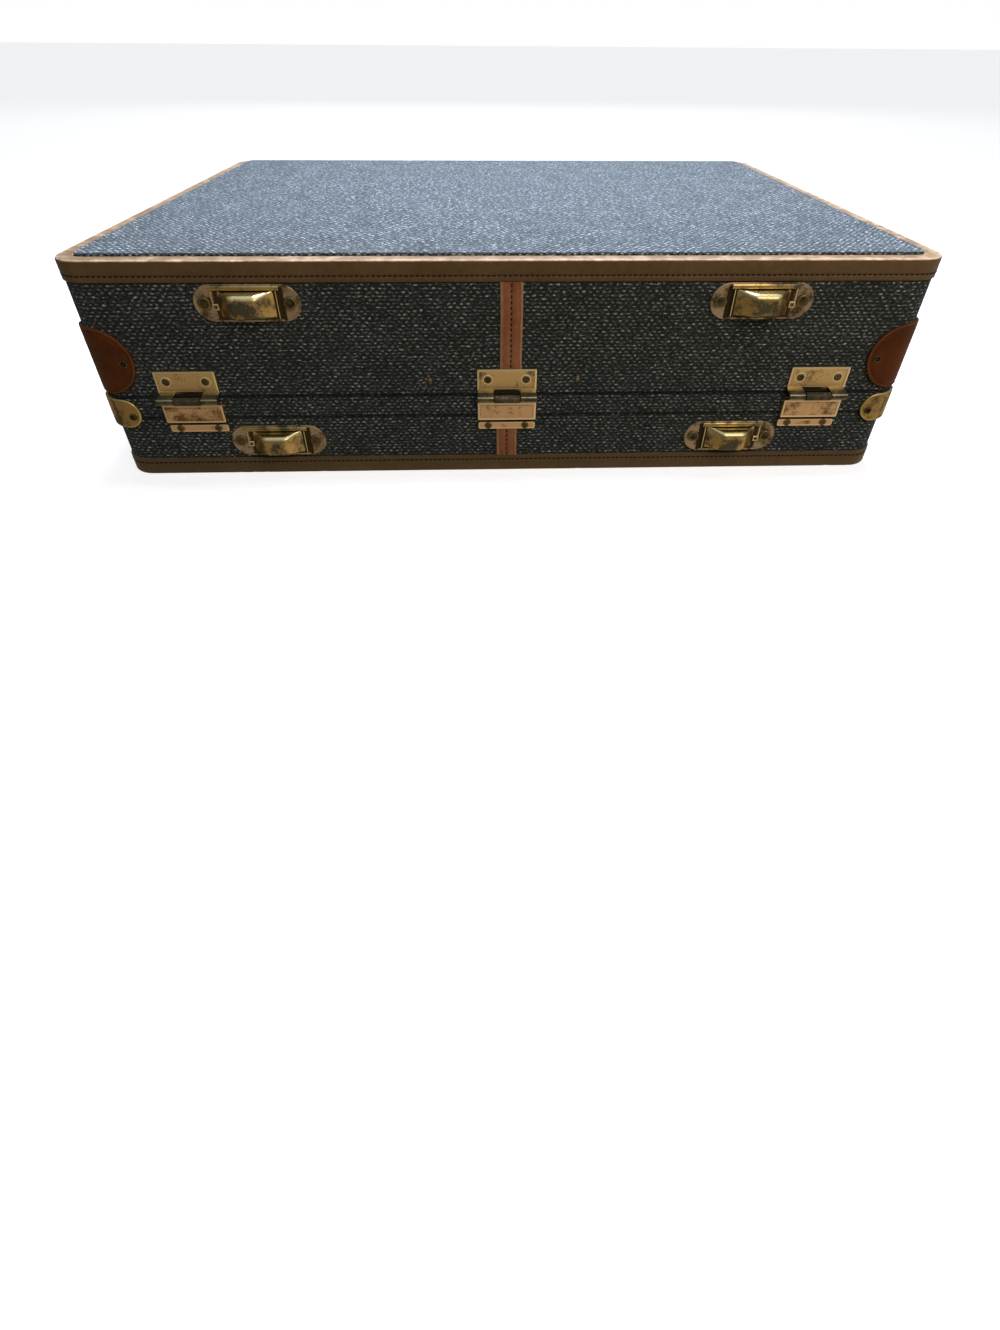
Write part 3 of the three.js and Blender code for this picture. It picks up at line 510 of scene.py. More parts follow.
def planPoint(s, inset):
    # Point of the plan at distance s along it, from the middle of the hinge side to the right:
    # the leg's centre plus (corner radius - inset) along the outward normal.
    s = np.mod(s, planLength)
    angle = np.interp(s, legEnds, legAngle)
    reach = planRadius - inset
    return (np.interp(s, legEnds, legCentreX) + reach * np.cos(angle),
            np.interp(s, legEnds, legCentreY) + reach * np.sin(angle))


def planStations(step, perTurn=14):
    # distances along the plan, a step apart on the straight legs and close together in the turns
    parts = []
    for k, leg in enumerate(legs):
        count = perTurn if k % 2 else max(1, int(round(leg / step)))
        parts.append(legEnds[k] + leg * np.arange(count) / count)
    return np.concatenate(parts)


def wave(s, size, waves, seed):
    # a slow uneven wave round the plan: a sum of sines with whole numbers of waves
    phases = np.random.default_rng(seed).uniform(0, 2 * np.pi, len(waves))
    return size * sum(np.sin(2 * np.pi * n * s / planLength + p) for n, p in zip(waves, phases)) / len(waves)


def carried(section, s, low=0.0, sign=1.0, lift=None, wear=None):
    # A closed section (inset, height) carried round the plan; height counts from low, up or down.
    section = np.array(section, float)
    inset = section[:, 0][:, None] + (0 if lift is None else lift[0])
    height = section[:, 1][:, None] + (0 if lift is None else lift[1])
    x, y = planPoint(s[None, :], inset)
    points = np.stack(np.broadcast_arrays(x, y, low + sign * height), -1)
    lengths = np.linalg.norm(np.diff(section, axis=0, append=section[:1]), axis=1)
    u = np.append(s, planLength)
    v = np.concatenate([[0], np.cumsum(lengths)])
    return loft(points, uv=np.stack(np.meshgrid(u, v), -1), wear=wear, closed=True)


# ---- camera, floor and light

def setCamera():
    # The camera is pitched down over the hinge side, close, with a wide lens.
    look = {"place": (-16.9, -664.45, 283.4), "pitch": 36.33, "yaw": -2.10, "roll": 0.45,
            "focal": 638.5, "centre": (505.0, 511.0), "frame": (1000.0, 1330.0), "sensor": 36.0}
    pitch, yaw, roll = (math.radians(look[k]) for k in ("pitch", "yaw", "roll"))
    ahead = Vector((-math.sin(yaw), math.cos(yaw), 0))
    side = Vector((math.cos(yaw), math.sin(yaw), 0))
    zenith = Vector((0, 0, 1))
    forward = math.cos(pitch) * ahead - math.sin(pitch) * zenith
    upward = math.sin(pitch) * ahead + math.cos(pitch) * zenith
    right = math.cos(roll) * side + math.sin(roll) * upward
    up = -math.sin(roll) * side + math.cos(roll) * upward
    data = bpy.data.cameras.new("camera")
    data.sensor_width = look["sensor"]
    longSide = max(look["frame"])
    data.lens = look["focal"] / longSide * look["sensor"]
    data.shift_x = (look["frame"][0] / 2 - look["centre"][0]) / longSide
    data.shift_y = (look["centre"][1] - look["frame"][1] / 2) / longSide
    data.clip_start = 0.01
    data.clip_end = 200.0
    camera = bpy.data.objects.new("camera", data)
    axes = Matrix((right, up, -forward)).transposed().to_4x4()
    camera.matrix_world = Matrix.Translation(Vector(look["place"]) * mm) @ axes
    bpy.context.scene.collection.objects.link(camera)
    bpy.context.scene.camera = camera


def softbox(name, place, target, size, power, colourHex):
    data = bpy.data.lights.new(name, "AREA")
    data.shape = "RECTANGLE"
    data.size, data.size_y = size
    data.energy = power
    data.color = linearOf(colourHex)[:3]
    light = bpy.data.objects.new(name, data)
    light.location = place
    light.rotation_euler = (Vector(target) - Vector(place)).to_track_quat("-Z", "Y").to_euler()
    bpy.context.scene.collection.objects.link(light)
    return light


def setStudio():
    studio = {"floorSize": 60.0, "floorGlow": 0.8, "overhead": 24.5, "behind": 24.0, "front": 2.4,
              "ambient": 0.45, "reflected": 2.6, "backdrop": "#ffffff"}
    mesh = bpy.data.meshes.new("studio_floor")
    half = studio["floorSize"]
    mesh.from_pydata([(-half, -half, 0), (half, -half, 0), (half, half, 0), (-half, half, 0)],
                     [], [(0, 1, 2, 3)])
    floor = bpy.data.objects.new("studio_floor", mesh)
    bpy.context.scene.collection.objects.link(floor)
    floor.visible_diffuse = False       # the pale floor doesn't light the shaded sides
    floor.visible_glossy = False
    material, tree = newMaterial("matt_studio_floor")
    shader = addNode(tree, "BsdfPrincipled", {
        "Base Color": linearOf("#c8c8c8"), "Roughness": 0.9, "Specular IOR Level": 0.0,
        "Emission Color": (1, 1, 1, 1), "Emission Strength": studio["floorGlow"]})
    addNode(tree, "OutputMaterial", {"Surface": shader.outputs[0]})
    mesh.materials.append(material)
    softbox("overhead_softbox", (0.08, 0.08, 0.95), (0.07, 0.02, 0), (0.66, 0.5),
            studio["overhead"], "#dbe2fb")
    softbox("softbox_behind", (0.1, 2.9, 1.7), (0, 0, 0.1), (3.2, 1.8), studio["behind"], "#eef4ff")
    softbox("front_fill", (0.4, -0.85, 0.75), (0.1, -0.2, 0.1), (0.5, 0.4), studio["front"], "#fce4c8")
    # The world: pale to the camera, a dim warm floor under a cooler ceiling as light, and the same,
    # brighter, in reflections.
    world = bpy.data.worlds.new("studio_world")
    world.use_nodes = True
    tree = world.node_tree
    tree.nodes.clear()
    sky = addNode(tree, "TexCoord").outputs["Generated"]
    axes = addNode(tree, "SeparateXYZ", {0: sky}).outputs
    height = addNode(tree, "MapRange", {"Value": axes["Z"], "From Min": -1.0, "From Max": 1.0}).outputs[0]
    side = addNode(tree, "MapRange", {"Value": axes["X"], "From Min": -0.6, "From Max": 0.6, "To Min": 0.62,
                                      "To Max": 1.3}).outputs[0]
    tone = addNode(tree, "ValToRGB", {0: height}, stops=[(0.0, "#8a8174"), (0.42, "#777063"),
                                                         (0.55, "#4f4d4a"),
                                                         (1.0, "#a9b4c4")]).outputs[0]
    rays = addNode(tree, "LightPath").outputs
    lit = addNode(tree, "Background", {"Color": tone, "Strength": studio["ambient"]}).outputs[0]
    shine = addNode(tree, "Math", {0: side, 1: studio["reflected"]}, operation="MULTIPLY").outputs[0]
    mirrored = addNode(tree, "Background", {"Color": tone, "Strength": shine}).outputs[0]
    seen = addNode(tree, "Background", {"Color": linearOf(studio["backdrop"]), "Strength": 1.0}).outputs[0]
    both = addNode(tree, "MixShader", {0: rays["Is Glossy Ray"], 1: lit, 2: mirrored}).outputs[0]
    both = addNode(tree, "MixShader", {0: rays["Is Camera Ray"], 1: both, 2: seen}).outputs[0]
    addNode(tree, "OutputWorld", {"Surface": both})
    bpy.context.scene.world = world
    bpy.context.scene.view_settings.view_transform = "Standard"


setCamera()
setStudio()
print("camera, floor and light made")


# ---- the covering: tweed on the panels and sides, leather over the edges

bandStations = planStations(2.4)
clothStations = planStations(6.0)
halves = {"lid": ("lid", 0.0, 1.0), "deep": ("deep_half", topHeight, -1.0)}     # body, outer face, way in

binding = {"thick": 2.0, "stitchFromEdge": 4.1, "groove": 0.42, "stitchPitch": 3.7, "stitchLength": 2.9,
           "thread": 0.42, "nicks": 46}


def bindingSection():
    # Up the side, over the rounded edge, onto the panel and back underneath. Returns the rows and
    # which of them are rubbed.
    edge = case["edgeRadius"]
    onPanel = case["bandOnPanel"]
    thick = binding["thick"]
    line = bandHeight - binding["stitchFromEdge"]
    deep = binding["groove"]
    side = [(thick, bandHeight), (0.5, bandHeight), (0.14, bandHeight - 0.2), (0, bandHeight - 0.7),
            (0, line + 1.1), (0.3 * deep, line + 0.75), (0.85 * deep, line + 0.4), (deep, line),
            (0.85 * deep, line - 0.4), (0.3 * deep, line - 0.75), (0, line - 1.1), (0, line - 2.6)]
    corner = arc((edge, edge), edge, 180, 270, 9)
    panel = [(edge + 2.2, 0.0), (onPanel - 1.3, 0.02), (onPanel - 0.5, 0.16), (onPanel - 0.1, 0.5),
             (onPanel, 0.95),
             (onPanel, thick)]
    under = [(edge + 1.2, thick), (thick + 1.5, thick + 0.7), (thick + 0.5, thick + 1.7), (thick, edge + 1.2)]
    rows = np.vstack([side, corner, panel, under])
    wear = np.zeros(len(rows))
    wear[len(side):len(side) + len(corner) + 4] = [0.0, 0.1, 0.2, 0.4, 0.6, 0.8, 0.8, 0.7, 0.6, 0.5,
                                                   0.4, 0.3, 0.35, 0.5]
    wear[:6] = -0.7                                         # soiled lip under the stitches
    return rows, wear


def stitchRow(places, half, width, height):
    # Stitches as small six-sided pods: each is a lens along its run, sunk into the leather at its ends.
    # places(s) gives the point, the way along and the way out for every stitch.
    along = np.array([-1, -0.72, 0, 0.72, 1])
    size = np.array([0.25, 0.8, 1, 0.8, 0.25])
    sink = np.array([-0.55, 0.0, 0.25, 0.0, -0.55])
    angle = np.linspace(0, 2 * np.pi, 6, endpoint=False)
    points, run, out = places
    over = np.cross(run, out)
    ring = (points[:, None, None, :] + half * along[None, :, None, None] * run[:, None, None, :]
            + height * (sink[None, :, None, None] + size[None, :, None,
                                                         None] * np.cos(angle)[None, None, :, None])
            * out[:, None, None, :]
            + width * size[None, :, None, None] * np.sin(angle)[None, None, :, None] * over[:, None, None, :])
    pods = len(points)
    vertices = ring.reshape(pods, 30, 3)
    index = np.arange(30).reshape(5, 6)
    wrap = np.hstack([index, index[:, :1]])
    quads = np.stack([wrap[:-1, :-1], wrap[:-1, 1:], wrap[1:, 1:], wrap[1:, :-1]], -1).reshape(-1, 4)
    quads = np.vstack([quads, [[0, 5, 4, 3], [0, 3, 2, 1], [24, 25, 26, 27], [24, 27, 28, 29]]])
    a, b, c = (vertices[0][quads[:, k]] - vertices[0].mean(0) for k in range(3))
    if np.einsum("ij,ij->", a, np.cross(b, c)) < 0:
        quads = quads[:, ::-1]
    allQuads = (quads[None] + 30 * np.arange(pods)[:, None, None]).reshape(-1, 4)
    return {"points": vertices.reshape(-1, 3), "quads": allQuads, "tris": np.zeros((0, 3), int),
            "quadUv": np.zeros((len(allQuads), 4, 2)), "triUv": np.zeros((0, 3, 2)),
            "wear": np.zeros(30 * pods)}


def bindingStitches(outer, way):
    # stitches that lie in the groove of the binding, all round the plan
    count = int(planLength / binding["stitchPitch"])
    s = (np.arange(count) + 0.5) * planLength / count
    inset = binding["groove"] * 0.55
    x, y = planPoint(s, inset)
    height = bandHeight - binding["stitchFromEdge"] + rng.uniform(-0.12, 0.12, count)
    points = np.stack([x, y, outer + way * height], -1)
    angle = np.interp(np.mod(s, planLength), legEnds, legAngle)
    out = np.stack([np.cos(angle), np.sin(angle), np.zeros(count)], -1)
    tilt = 0.13                                             # a saddle stitch leans a little
    run = np.stack([-np.sin(angle), np.cos(angle), np.full(count, tilt)], -1)
    run /= np.linalg.norm(run, axis=1)[:, None]
    return stitchRow((points, run, out), binding["stitchLength"] / 2, 0.5, binding["thread"])


def makeBinding(prefix):
    body, outer, way = halves[prefix]
    rows, rubbed = bindingSection()
    s = bandStations
    # dents and nicks, deepest on the rounded edge
    at = rng.uniform(0, planLength, binding["nicks"])
    width = rng.uniform(0.7, 2.4, binding["nicks"])
    depth = rng.uniform(0.05, 0.4, binding["nicks"])
    gap = np.abs(s[None, :] - at[:, None])
    gap = np.minimum(gap, planLength - gap)
    nick = (depth[:, None] * np.exp(-(gap / width[:, None]) ** 2)).sum(0)
    onEdge = np.clip(rubbed, 0, 1) ** 2
    sway = wave(s, 0.07, (9, 17, 31), 3)
    insetLift = onEdge[:, None] * 0.5 * nick[None, :] + np.abs(sway)[None, :] * (rows[:, 0] < 1.0)[:, None]
    heightLift = onEdge[:, None] * nick[None, :]
    wear = np.clip(rubbed[:, None] * 0.8 + np.minimum(1, 2.2 * nick)[None, :] * onEdge[:, None], 0, 1)
    if prefix == "lid":
        wear[:12] -= 0.35                                   # painted shade: the lid's sides, low by the floor, are darkened
    shape = carried(rows, s, outer, way, (insetLift, heightLift), wear)
    makePiece(prefix + "_edge_binding", shape, bindingHide, body, [prefix + "_binding"])
    makePiece(prefix + "_binding_stitches", bindingStitches(outer, way), seamThread, body, ())


def makePanelCloth(prefix):
    # Cloth of a panel. It starts under the binding's edge, rises round a shoulder to its own height over
    # the binding, and is drawn in to the middle by t, with
    # swell = crown * (1 - |x / half|^3) * (1 - |y / half|^3) and a slow ripple.
    body, outer, way = halves[prefix]
    low, high = boxOf(prefix + "_panel_cloth")
    stands = high[2] - outer if way < 0 else outer - low[2]
    padded = stands > 0
    cover = {"edge": 11.7 if padded else 11.0, "shoulder": 1.5 if padded else 0.3, "crown": 0.25
             if padded else 0.7}
    r = cover["shoulder"]
    edge = np.vstack([[(cover["edge"], proud + case["clothThick"]),
                       (cover["edge"], (proud + r - stands) / 2)],
                      arc((cover["edge"] + r, r - stands), r, 180, 270, 6)])
    laid = np.append(np.cumsum(np.linalg.norm(np.diff(edge, axis=0), axis=1)[::-1])[::-1], 0)
    s = planStations(9.0, 12)
    x, y = planPoint(s[None, :], edge[:, 0][:, None])
    flatX, flatY = planPoint(s[None, :], (edge[-1, 0] - laid)[:, None])
    halfX, halfY = x[-1].max(), (y[-1].max() - y[-1].min()) / 2
    t = np.concatenate([[0.997, 0.988], np.linspace(0.965, 0.03, 26)])[:, None]
    px = np.vstack([x, x[-1:] * t])
    py = np.vstack([y, caseMiddle[1] + (y[-1:] - caseMiddle[1]) * t])
    nx, ny = px / halfX, (py - caseMiddle[1]) / halfY
    swell = cover["crown"] * np.clip(1 - np.abs(nx) ** 3, 0, 1) * np.clip(1 - np.abs(ny) ** 3, 0, 1)
    fade = np.clip((1 - np.abs(nx)) * (1 - np.abs(ny)) * 60, 0, 1)
    ripple = 0.1 * np.sin(px / 37) * np.sin(py / 29 + 1) * fade
    depth = np.concatenate([edge[:, 1], np.full(len(t), -stands)])[:, None] - (swell + ripple)
    points = np.stack([px, py, outer + way * depth], -1)
    u = np.vstack([flatX, px[len(edge):]])
    v = np.vstack([flatY, py[len(edge):]])
    uv = np.stack([np.hstack([u, u[:, :1]]), np.hstack([v, v[:, :1]])], -1)
    # painted shade, near black, where the cloth tucks under the binding's edge
    soilAndShade = np.concatenate([[0.9, 0.35], np.linspace(0.1, 0, 7), np.zeros(len(t))])[:, None]
    piece = makePiece(prefix + "_panel_tweed", loft(points, uv=uv, wear=soilAndShade), tweed, body,
                      [prefix + "_panel_cloth"])


def makeSideCloth(prefix):
    # Cloth round the sides of a half, turned in over the board at the mouth.
    body, outer, way = halves[prefix]
    start = bandHeight - 0.6
    stop = rimBottom - case["gap"] if prefix == "lid" else topHeight - deepMouth
    turn = 0.8
    inner = proud + case["clothThick"]
    outside = [(proud, h) for h in stop - turn - (stop - turn - start) * np.array([1, .8, .6, .4, .2,
                                                                                   .1, .05, .025, 0])]
    mouth = arc((proud + turn, stop - turn), turn, 180, 90, 4)[1:]
    rows = np.vstack([outside, mouth, [(inner + 0.02, stop), (inner + 0.02, start)]])
    s = clothStations
    bulge = np.clip(1 - np.abs(np.linspace(-1, 1, 9)) ** 2, 0, 1)
    lift = np.zeros((len(rows), len(s)))
    lift[:9] = -bulge[:, None] * (0.12 + wave(s, 0.16, (7, 12, 19, 33), 5 if prefix == "lid" else 8))[None, :]
    soilAndShade = np.clip(0.8 - (stop - rows[:, 1]) / 2.2, 0, 1)[:, None]        # painted shade along the mouth, in the dark gap between the parts
    shape = carried(rows, s, outer, way, (lift, 0), soilAndShade)
    makePiece(prefix + "_side_tweed", shape, tweed, body, [prefix + "_side_cloth"])


def makeLidRim():
    # The frame of the lid's mouth: a band of tweed outside, and the wooden lip that guides the halves.
    proudInset = proud - rimProud
    tongue = {"inset": 7.0, "thick": 2.0, "top": rimHigh[2]}
    outside = np.vstack([
        [(tongue["inset"] + tongue["thick"], rimBottom), (proudInset + 0.8, rimBottom)],
        arc((proudInset + 0.8, rimBottom + 0.8), 0.8, 250, 180, 4),
        [(proudInset, h) for h in np.linspace(rimBottom + 3, lidMouth - 3, 4)],
        arc((proudInset + 0.9, lidMouth - 0.9), 0.9, 180, 90, 5)])
    lip = np.vstack([
        [(tongue["inset"] - 0.3, lidMouth), (tongue["inset"], lidMouth + 0.3)],
        arc((tongue["inset"] + 0.7, tongue["top"] - 0.7), 0.7, 180, 90, 3),
        arc((tongue["inset"] + tongue["thick"] - 0.7, tongue["top"] - 0.7), 0.7, 90, 0, 3)])
    rows = np.vstack([outside, lip])
    s = clothStations
    lift = np.zeros((len(rows), len(s)))
    lift[6:12] = -0.5 * np.abs(wave(s, 0.14, (8, 15, 23), 12))[None, :]
    # painted shade along both edges of the tweed band, in the dark gaps above and below it
    middle = (rimBottom + lidMouth) / 2
    soilAndShade = np.clip(0.75 - ((lidMouth - rimBottom) / 2 - np.abs(rows[:, 1] - middle)) / 1.6, 0, 1)[:, None]
    shape = carried(rows, s, 0.0, 1.0, (lift, 0), soilAndShade)
    halfX, halfY = caseHigh[0], (caseHigh[1] - caseLow[1]) / 2

    def isWood(middle):
        fromOutside = np.minimum(halfX - np.abs(middle[:, 0]), halfY - np.abs(middle[:, 1] - caseMiddle[1]))
        corner = (np.abs(middle[:, 0]) > straightX) & (np.abs(middle[:, 1] - caseMiddle[1]) > straightY)
        reach = np.hypot(np.abs(middle[:, 0]) - straightX, np.abs(middle[:, 1] - caseMiddle[1]) - straightY)
        fromOutside = np.where(corner, planRadius - reach, fromOutside)
        return (fromOutside > 5.6) | (middle[:, 2] < rimBottom + 0.05)

    makePiece("lid_rim_band", shape, tweed, "lid", ["lid_rim"], second=(beech, isWood))


def makeDeepRim():
    # The frame of the deep half's mouth, with its edges eased.
    low, high = boxOf("deep_rim")
    outer, inner = caseHigh[0] - high[0], caseHigh[0] - high[0] + 4.0
    ease = 0.6
    rows = np.vstack([
        arc((outer + ease, low[2] + ease), ease, 180, 270, 3),
        arc((inner - ease, low[2] + ease), ease, 270, 360, 3),
        arc((inner - ease, high[2] - ease), ease, 0, 90, 3),
        arc((outer + ease, high[2] - ease), ease, 90, 180, 3)])
    makePiece("deep_rim_frame", carried(rows, clothStations), beech, "deep_half", ["deep_rim"])


def makeLining(prefix):
    # A tray of cloth: hem at the mouth, wall, a soft fold, and the floor drawn in to the middle.
    body, outer, way = halves[prefix]
    low, high = boxOf(prefix + "_lining")
    tray = {"thick": 0.8, "fold": 5.0, "hem": 1.1}
    inset = caseHigh[0] - high[0]
    floorDepth = low[2] if way > 0 else topHeight - high[2]
    mouth = high[2] if way > 0 else topHeight - low[2]
    fold, thick, hem = tray["fold"], tray["thick"], tray["hem"]
    s = planStations(7.0, 12)

    def wallRows(shift):
        # from the mouth down the wall and round the fold, shift = how far inside the outer face
        turn = arc((inset + shift + fold, floorDepth + shift + fold), fold, 180, 270, 5)
        wall = [(inset + shift, h) for h in np.linspace(mouth - 2.5, floorDepth + shift + fold + 2, 7)]
        return np.vstack([wall, turn])

    outside, inside = wallRows(0.0), wallRows(thick)
    hemRows = np.array([(inset, mouth - 1.2), (inset + 0.1, mouth), (inset + hem + thick - 0.1, mouth),
                        (inset + thick + hem, mouth - 1.0), (inset + thick + hem * 0.7, mouth - 2.2)])
    rows = np.vstack([outside[::-1], hemRows, inside])
    x, y = planPoint(s[None, :], rows[:, 0][:, None])
    z = np.broadcast_to(rows[:, 1][:, None], x.shape).copy()
    climb = np.clip((rows[:, 1] - floorDepth) / (mouth - floorDepth), 0, 1)
    ripple = 0.35 * np.sin(s / 21)[None, :] * np.sin(climb * np.pi)[:, None]
    steps = np.linspace(0.96, 0.03, 16)[:, None]

    def floorRows(row):
        fx = x[row][None, :] * steps
        fy = caseMiddle[1] + (y[row][None, :] - caseMiddle[1]) * steps
        return fx, fy, np.full(fx.shape, z[row, 0])

    under, over = floorRows(0), floorRows(-1)
    swell = 0.5 * np.sin(over[0] / 43) * np.sin(over[1] / 51 + 0.6) * (1 - steps ** 6)
    inward = 0.5 * ripple * (np.arange(len(rows)) >= len(outside) + len(hemRows))[:, None]
    x, y = planPoint(s[None, :], rows[:, 0][:, None] + np.abs(inward))
    px = np.vstack([under[0][::-1], x, over[0]])
    py = np.vstack([under[1][::-1], y, over[1]])
    pz = np.vstack([under[2][::-1], z, over[2] + np.abs(swell)])
    points = np.stack([px, py, outer + way * pz], -1)
    # laid flat: the floor by its own x and y, the wall by distance along and height
    flat = np.vstack([np.zeros((len(under[0]), 1)), np.ones((len(rows), 1)), np.zeros((len(over[0]), 1))])
    u = flat * s[None, :] + (1 - flat) * px
    v = flat * pz + (1 - flat) * py
    u = np.hstack([u, u[:, :1] + flat * planLength])
    v = np.hstack([v, v[:, :1]])
    makePiece(prefix + "_cloth_lining", loft(points, uv=np.stack([u, v], -1)), twill, body,
              [prefix + "_lining"])


for prefix in halves:
    makeBinding(prefix)
    makePanelCloth(prefix)
    makeSideCloth(prefix)
    makeLining(prefix)
    for board in ("_panel_board", "_side_board"):
        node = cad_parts[prefix + board]
        node.data.materials.clear()
        node.data.materials.append(plywood)
makeLidRim()
makeDeepRim()
print("covering made")


# ---- corner guards

leatherGuard = {"reach": 36.0, "pressedLine": 2.6, "rivetFromNose": 7.0, "rivetDrop": 1.2, "rivetRadius": 3.1}
brassGuard = {"reach": 28.2, "rivetDrop": 2.5, "crease": 6.3, "creaseWidth": 0.9, "creaseDepth": 0.45,
              "rivetFromNose": 6.2,
              "rivetRadius": 2.8}
guardCorners = {"right_hinge_side": legEnds[1], "right_handle_side": legEnds[3],
                "left_handle_side": legEnds[5], "left_hinge_side": legEnds[7]}


def guardShape(cornerStart, low, high, reach, base, profile, relief=None, tarnishAndPaintedDark=None):
    # A long oval laid on the unrolled side: its outline, moved in by profile[:, 0], is bent round the
    # corner, and stands base + profile[:, 1] out of the plan's line. relief(u, v) adds to that.
    height = high - low
    half = reach - planRadius + quarterTurn / 2
    profile = np.array(profile, float)
    rings = outlineRings(2 * half, height, height / 2, profile[:, 0], 12, 6)
    u, v = rings[..., 0], rings[..., 1]
    shrink = np.linspace(0.86, 0.05, 9)[:, None, None]
    inner = rings[-1][None] * shrink
    u = np.vstack([u, inner[..., 0]])
    v = np.vstack([v, inner[..., 1]])
    out = np.concatenate([profile[:, 1], np.full(9, profile[-1, 1])])[:, None] + 0 * u
    if relief is not None:
        out[4:] += relief(u[4:], v[4:])
    s = cornerStart + quarterTurn / 2 + u
    x, y = planPoint(s, -base - out)
    wear = 0 * u
    wear[2:4] = 0.8
    if tarnishAndPaintedDark is not None:
        wear -= tarnishAndPaintedDark(u, v)
    return loft(np.stack([x, y, (low + high) / 2 + v], -1), uv=None, wear=wear)


def guardRivets(cornerStart, up, fromNose, reach, radius, base):
    # one rivet near each nose, its axis square to its own side
    half = reach - planRadius + quarterTurn / 2 - fromNose
    profile = np.array([(1, 0), (1, 0.3), (0.9, 0.62), (0.72, 0.72), (0.55, 0.55), (0.3, 0.62), (0.05, 0.7)])
    angle = np.linspace(0, 2 * np.pi, 16, endpoint=False)
    shapes = []
    for side in (-1, 1):
        s = cornerStart + quarterTurn / 2 + side * half + radius * profile[:, 0][:, None] * np.cos(angle)
        z = up + radius * profile[:, 0][:, None] * np.sin(angle)
        x, y = planPoint(s, -base - profile[:, 1][:, None])
        # painted shade: the rim's foot and the sunken ring go near black in the tarnish colour, a shadow ring
        # round each rivet
        wear = np.array([-3, -2, 0.2, 0.4, -3, -0.5, 0.1])[:, None]
        shapes.append(loft(np.stack(np.broadcast_arrays(x, y, z), -1), wear=wear))
    return joined(*shapes)


def crease(u, v):
    # a pressed line on each side of the bend: depth * a bell curve about its place
    fromLine = (np.abs(u) - brassGuard["crease"]) / brassGuard["creaseWidth"]
    return -brassGuard["creaseDepth"] * np.exp(-fromLine ** 2)


def browned(u, v):
    # tarnish lies in the creases and over the bend between them
    return 0.5 * np.exp(-((np.abs(u) - brassGuard["crease"]) / 1.6) ** 2) + 0.2 * (np.abs(u) < 6.0)


def makeGuards():
    for place, start in guardCorners.items():
        node = "deep_corner_" + place
        low, high = boxOf(node)
        reach = leatherGuard["reach"]
        line = leatherGuard["pressedLine"]
        edge = [(0, -1.9), (0, -0.6), (0.25, -0.2), (0.7, 0.0), (line - 0.6, 0.05), (line - 0.25, -0.18),
                (line, -0.3), (line + 0.25, -0.18), (line + 0.6, 0.05)]
        base = max(high[0] - caseHigh[0], caseLow[0] - low[0])
        shape = guardShape(start, low[2], high[2], reach, base, edge)
        makePiece(node + "_leather", shape, guardHide, "deep_half", [node])
        rivets = guardRivets(start, (low[2] + high[2]) / 2 - leatherGuard["rivetDrop"],
                             leatherGuard["rivetFromNose"], reach, leatherGuard["rivetRadius"], base)
        makePiece(node + "_rivets", rivets, darkRivet, "deep_half", ())

        node = "lid_corner_" + place
        low, high = boxOf(node)
        reach = brassGuard["reach"]
        base = max(high[0] - caseHigh[0], caseLow[0] - low[0])
        edge = [(0, -1.8), (0, -0.7), (0.2, -0.25), (0.6, 0.0), (1.4, 0.03)]
        shape = guardShape(start, low[2], high[2], reach, base, edge, crease, browned)
        makePiece(node + "_brass", shape, guardBrass, "lid", [node])
        rivets = guardRivets(start, (low[2] + high[2]) / 2 - brassGuard["rivetDrop"],
                             brassGuard["rivetFromNose"], reach, brassGuard["rivetRadius"], base)
        makePiece(node + "_rivets", rivets, darkRivet, "lid", ())


makeGuards()
print("corner guards made")


# ---- leather strip, nails

def makeStrip(node, body):
    # A doubled strip with rolled edges and a pressed channel down its middle for the stitches.
    low, high = boxOf(node)
    half = (high[0] - low[0]) / 2
    thick = hingeY - low[1]
    strap = {"roll": 0.7, "channel": 1.1, "channelDepth": 0.55, "pitch": 3.9, "stitch": 2.7, "tuck": 1.5,
             "beyond": 0.25}
    rightHalf = [(half, 0.05), (half, thick - strap["roll"]), (half - 0.25, thick - 0.25),
                 (half - 0.8, thick),
                 (half - 2.2, thick + 0.04), (half - 2.6, thick - 0.12), (half - 3.0, thick + 0.02),
                 (strap["channel"] + 0.5, thick), (strap["channel"] * 0.6,
                                                   thick - 0.7 * strap["channelDepth"]),
                 (0.25, thick - strap["channelDepth"])]
    section = np.array(rightHalf + [(-x, out) for x, out in rightHalf[::-1]])
    up = np.linspace(low[2] - (strap["tuck"] if body == "deep_half" else 0.0), high[2], 26)
    up[[0, -1]] = low[2] - strap["beyond"], high[2] + strap["beyond"]
    sway = 0.12 * np.sin(up / 9)[:, None]
    middle = (low[0] + high[0]) / 2
    uv = np.stack(np.meshgrid(np.append(section[:, 0], section[0, 0]), up), -1)
    wear = np.zeros(len(section))
    wear[[2, 3, -3, -4]] = 0.8
    shape = loft(onHinge(middle + section[:, 0][None, :] + sway, up[:, None], section[:, 1][None, :]), uv=uv,
                 wear=wear[None, :])
    makePiece(node + "_leather", shape, stripHide, body, [node])
    count = int((high[2] - low[2]) / strap["pitch"])
    z = low[2] + (np.arange(count) + 0.5) * (high[2] - low[2]) / count
    lean = rng.uniform(-0.12, 0.12, count)
    points = onHinge(middle + 0.5 * lean, z, np.full(count, thick - 0.35 * strap["channelDepth"]))
    run = np.stack([lean, np.zeros(count), np.ones(count)], -1)
    run /= np.linalg.norm(run, axis=1)[:, None]
    out = np.tile([0.0, -1.0, 0.0], (count, 1))
    shape = stitchRow((points, run, out), strap["stitch"] / 2, 0.5, 0.4)
    makePiece(node + "_stitches", shape, seamThread, body, ())


makeStrip("lid_strip", "lid")
makeStrip("deep_strip", "deep_half")

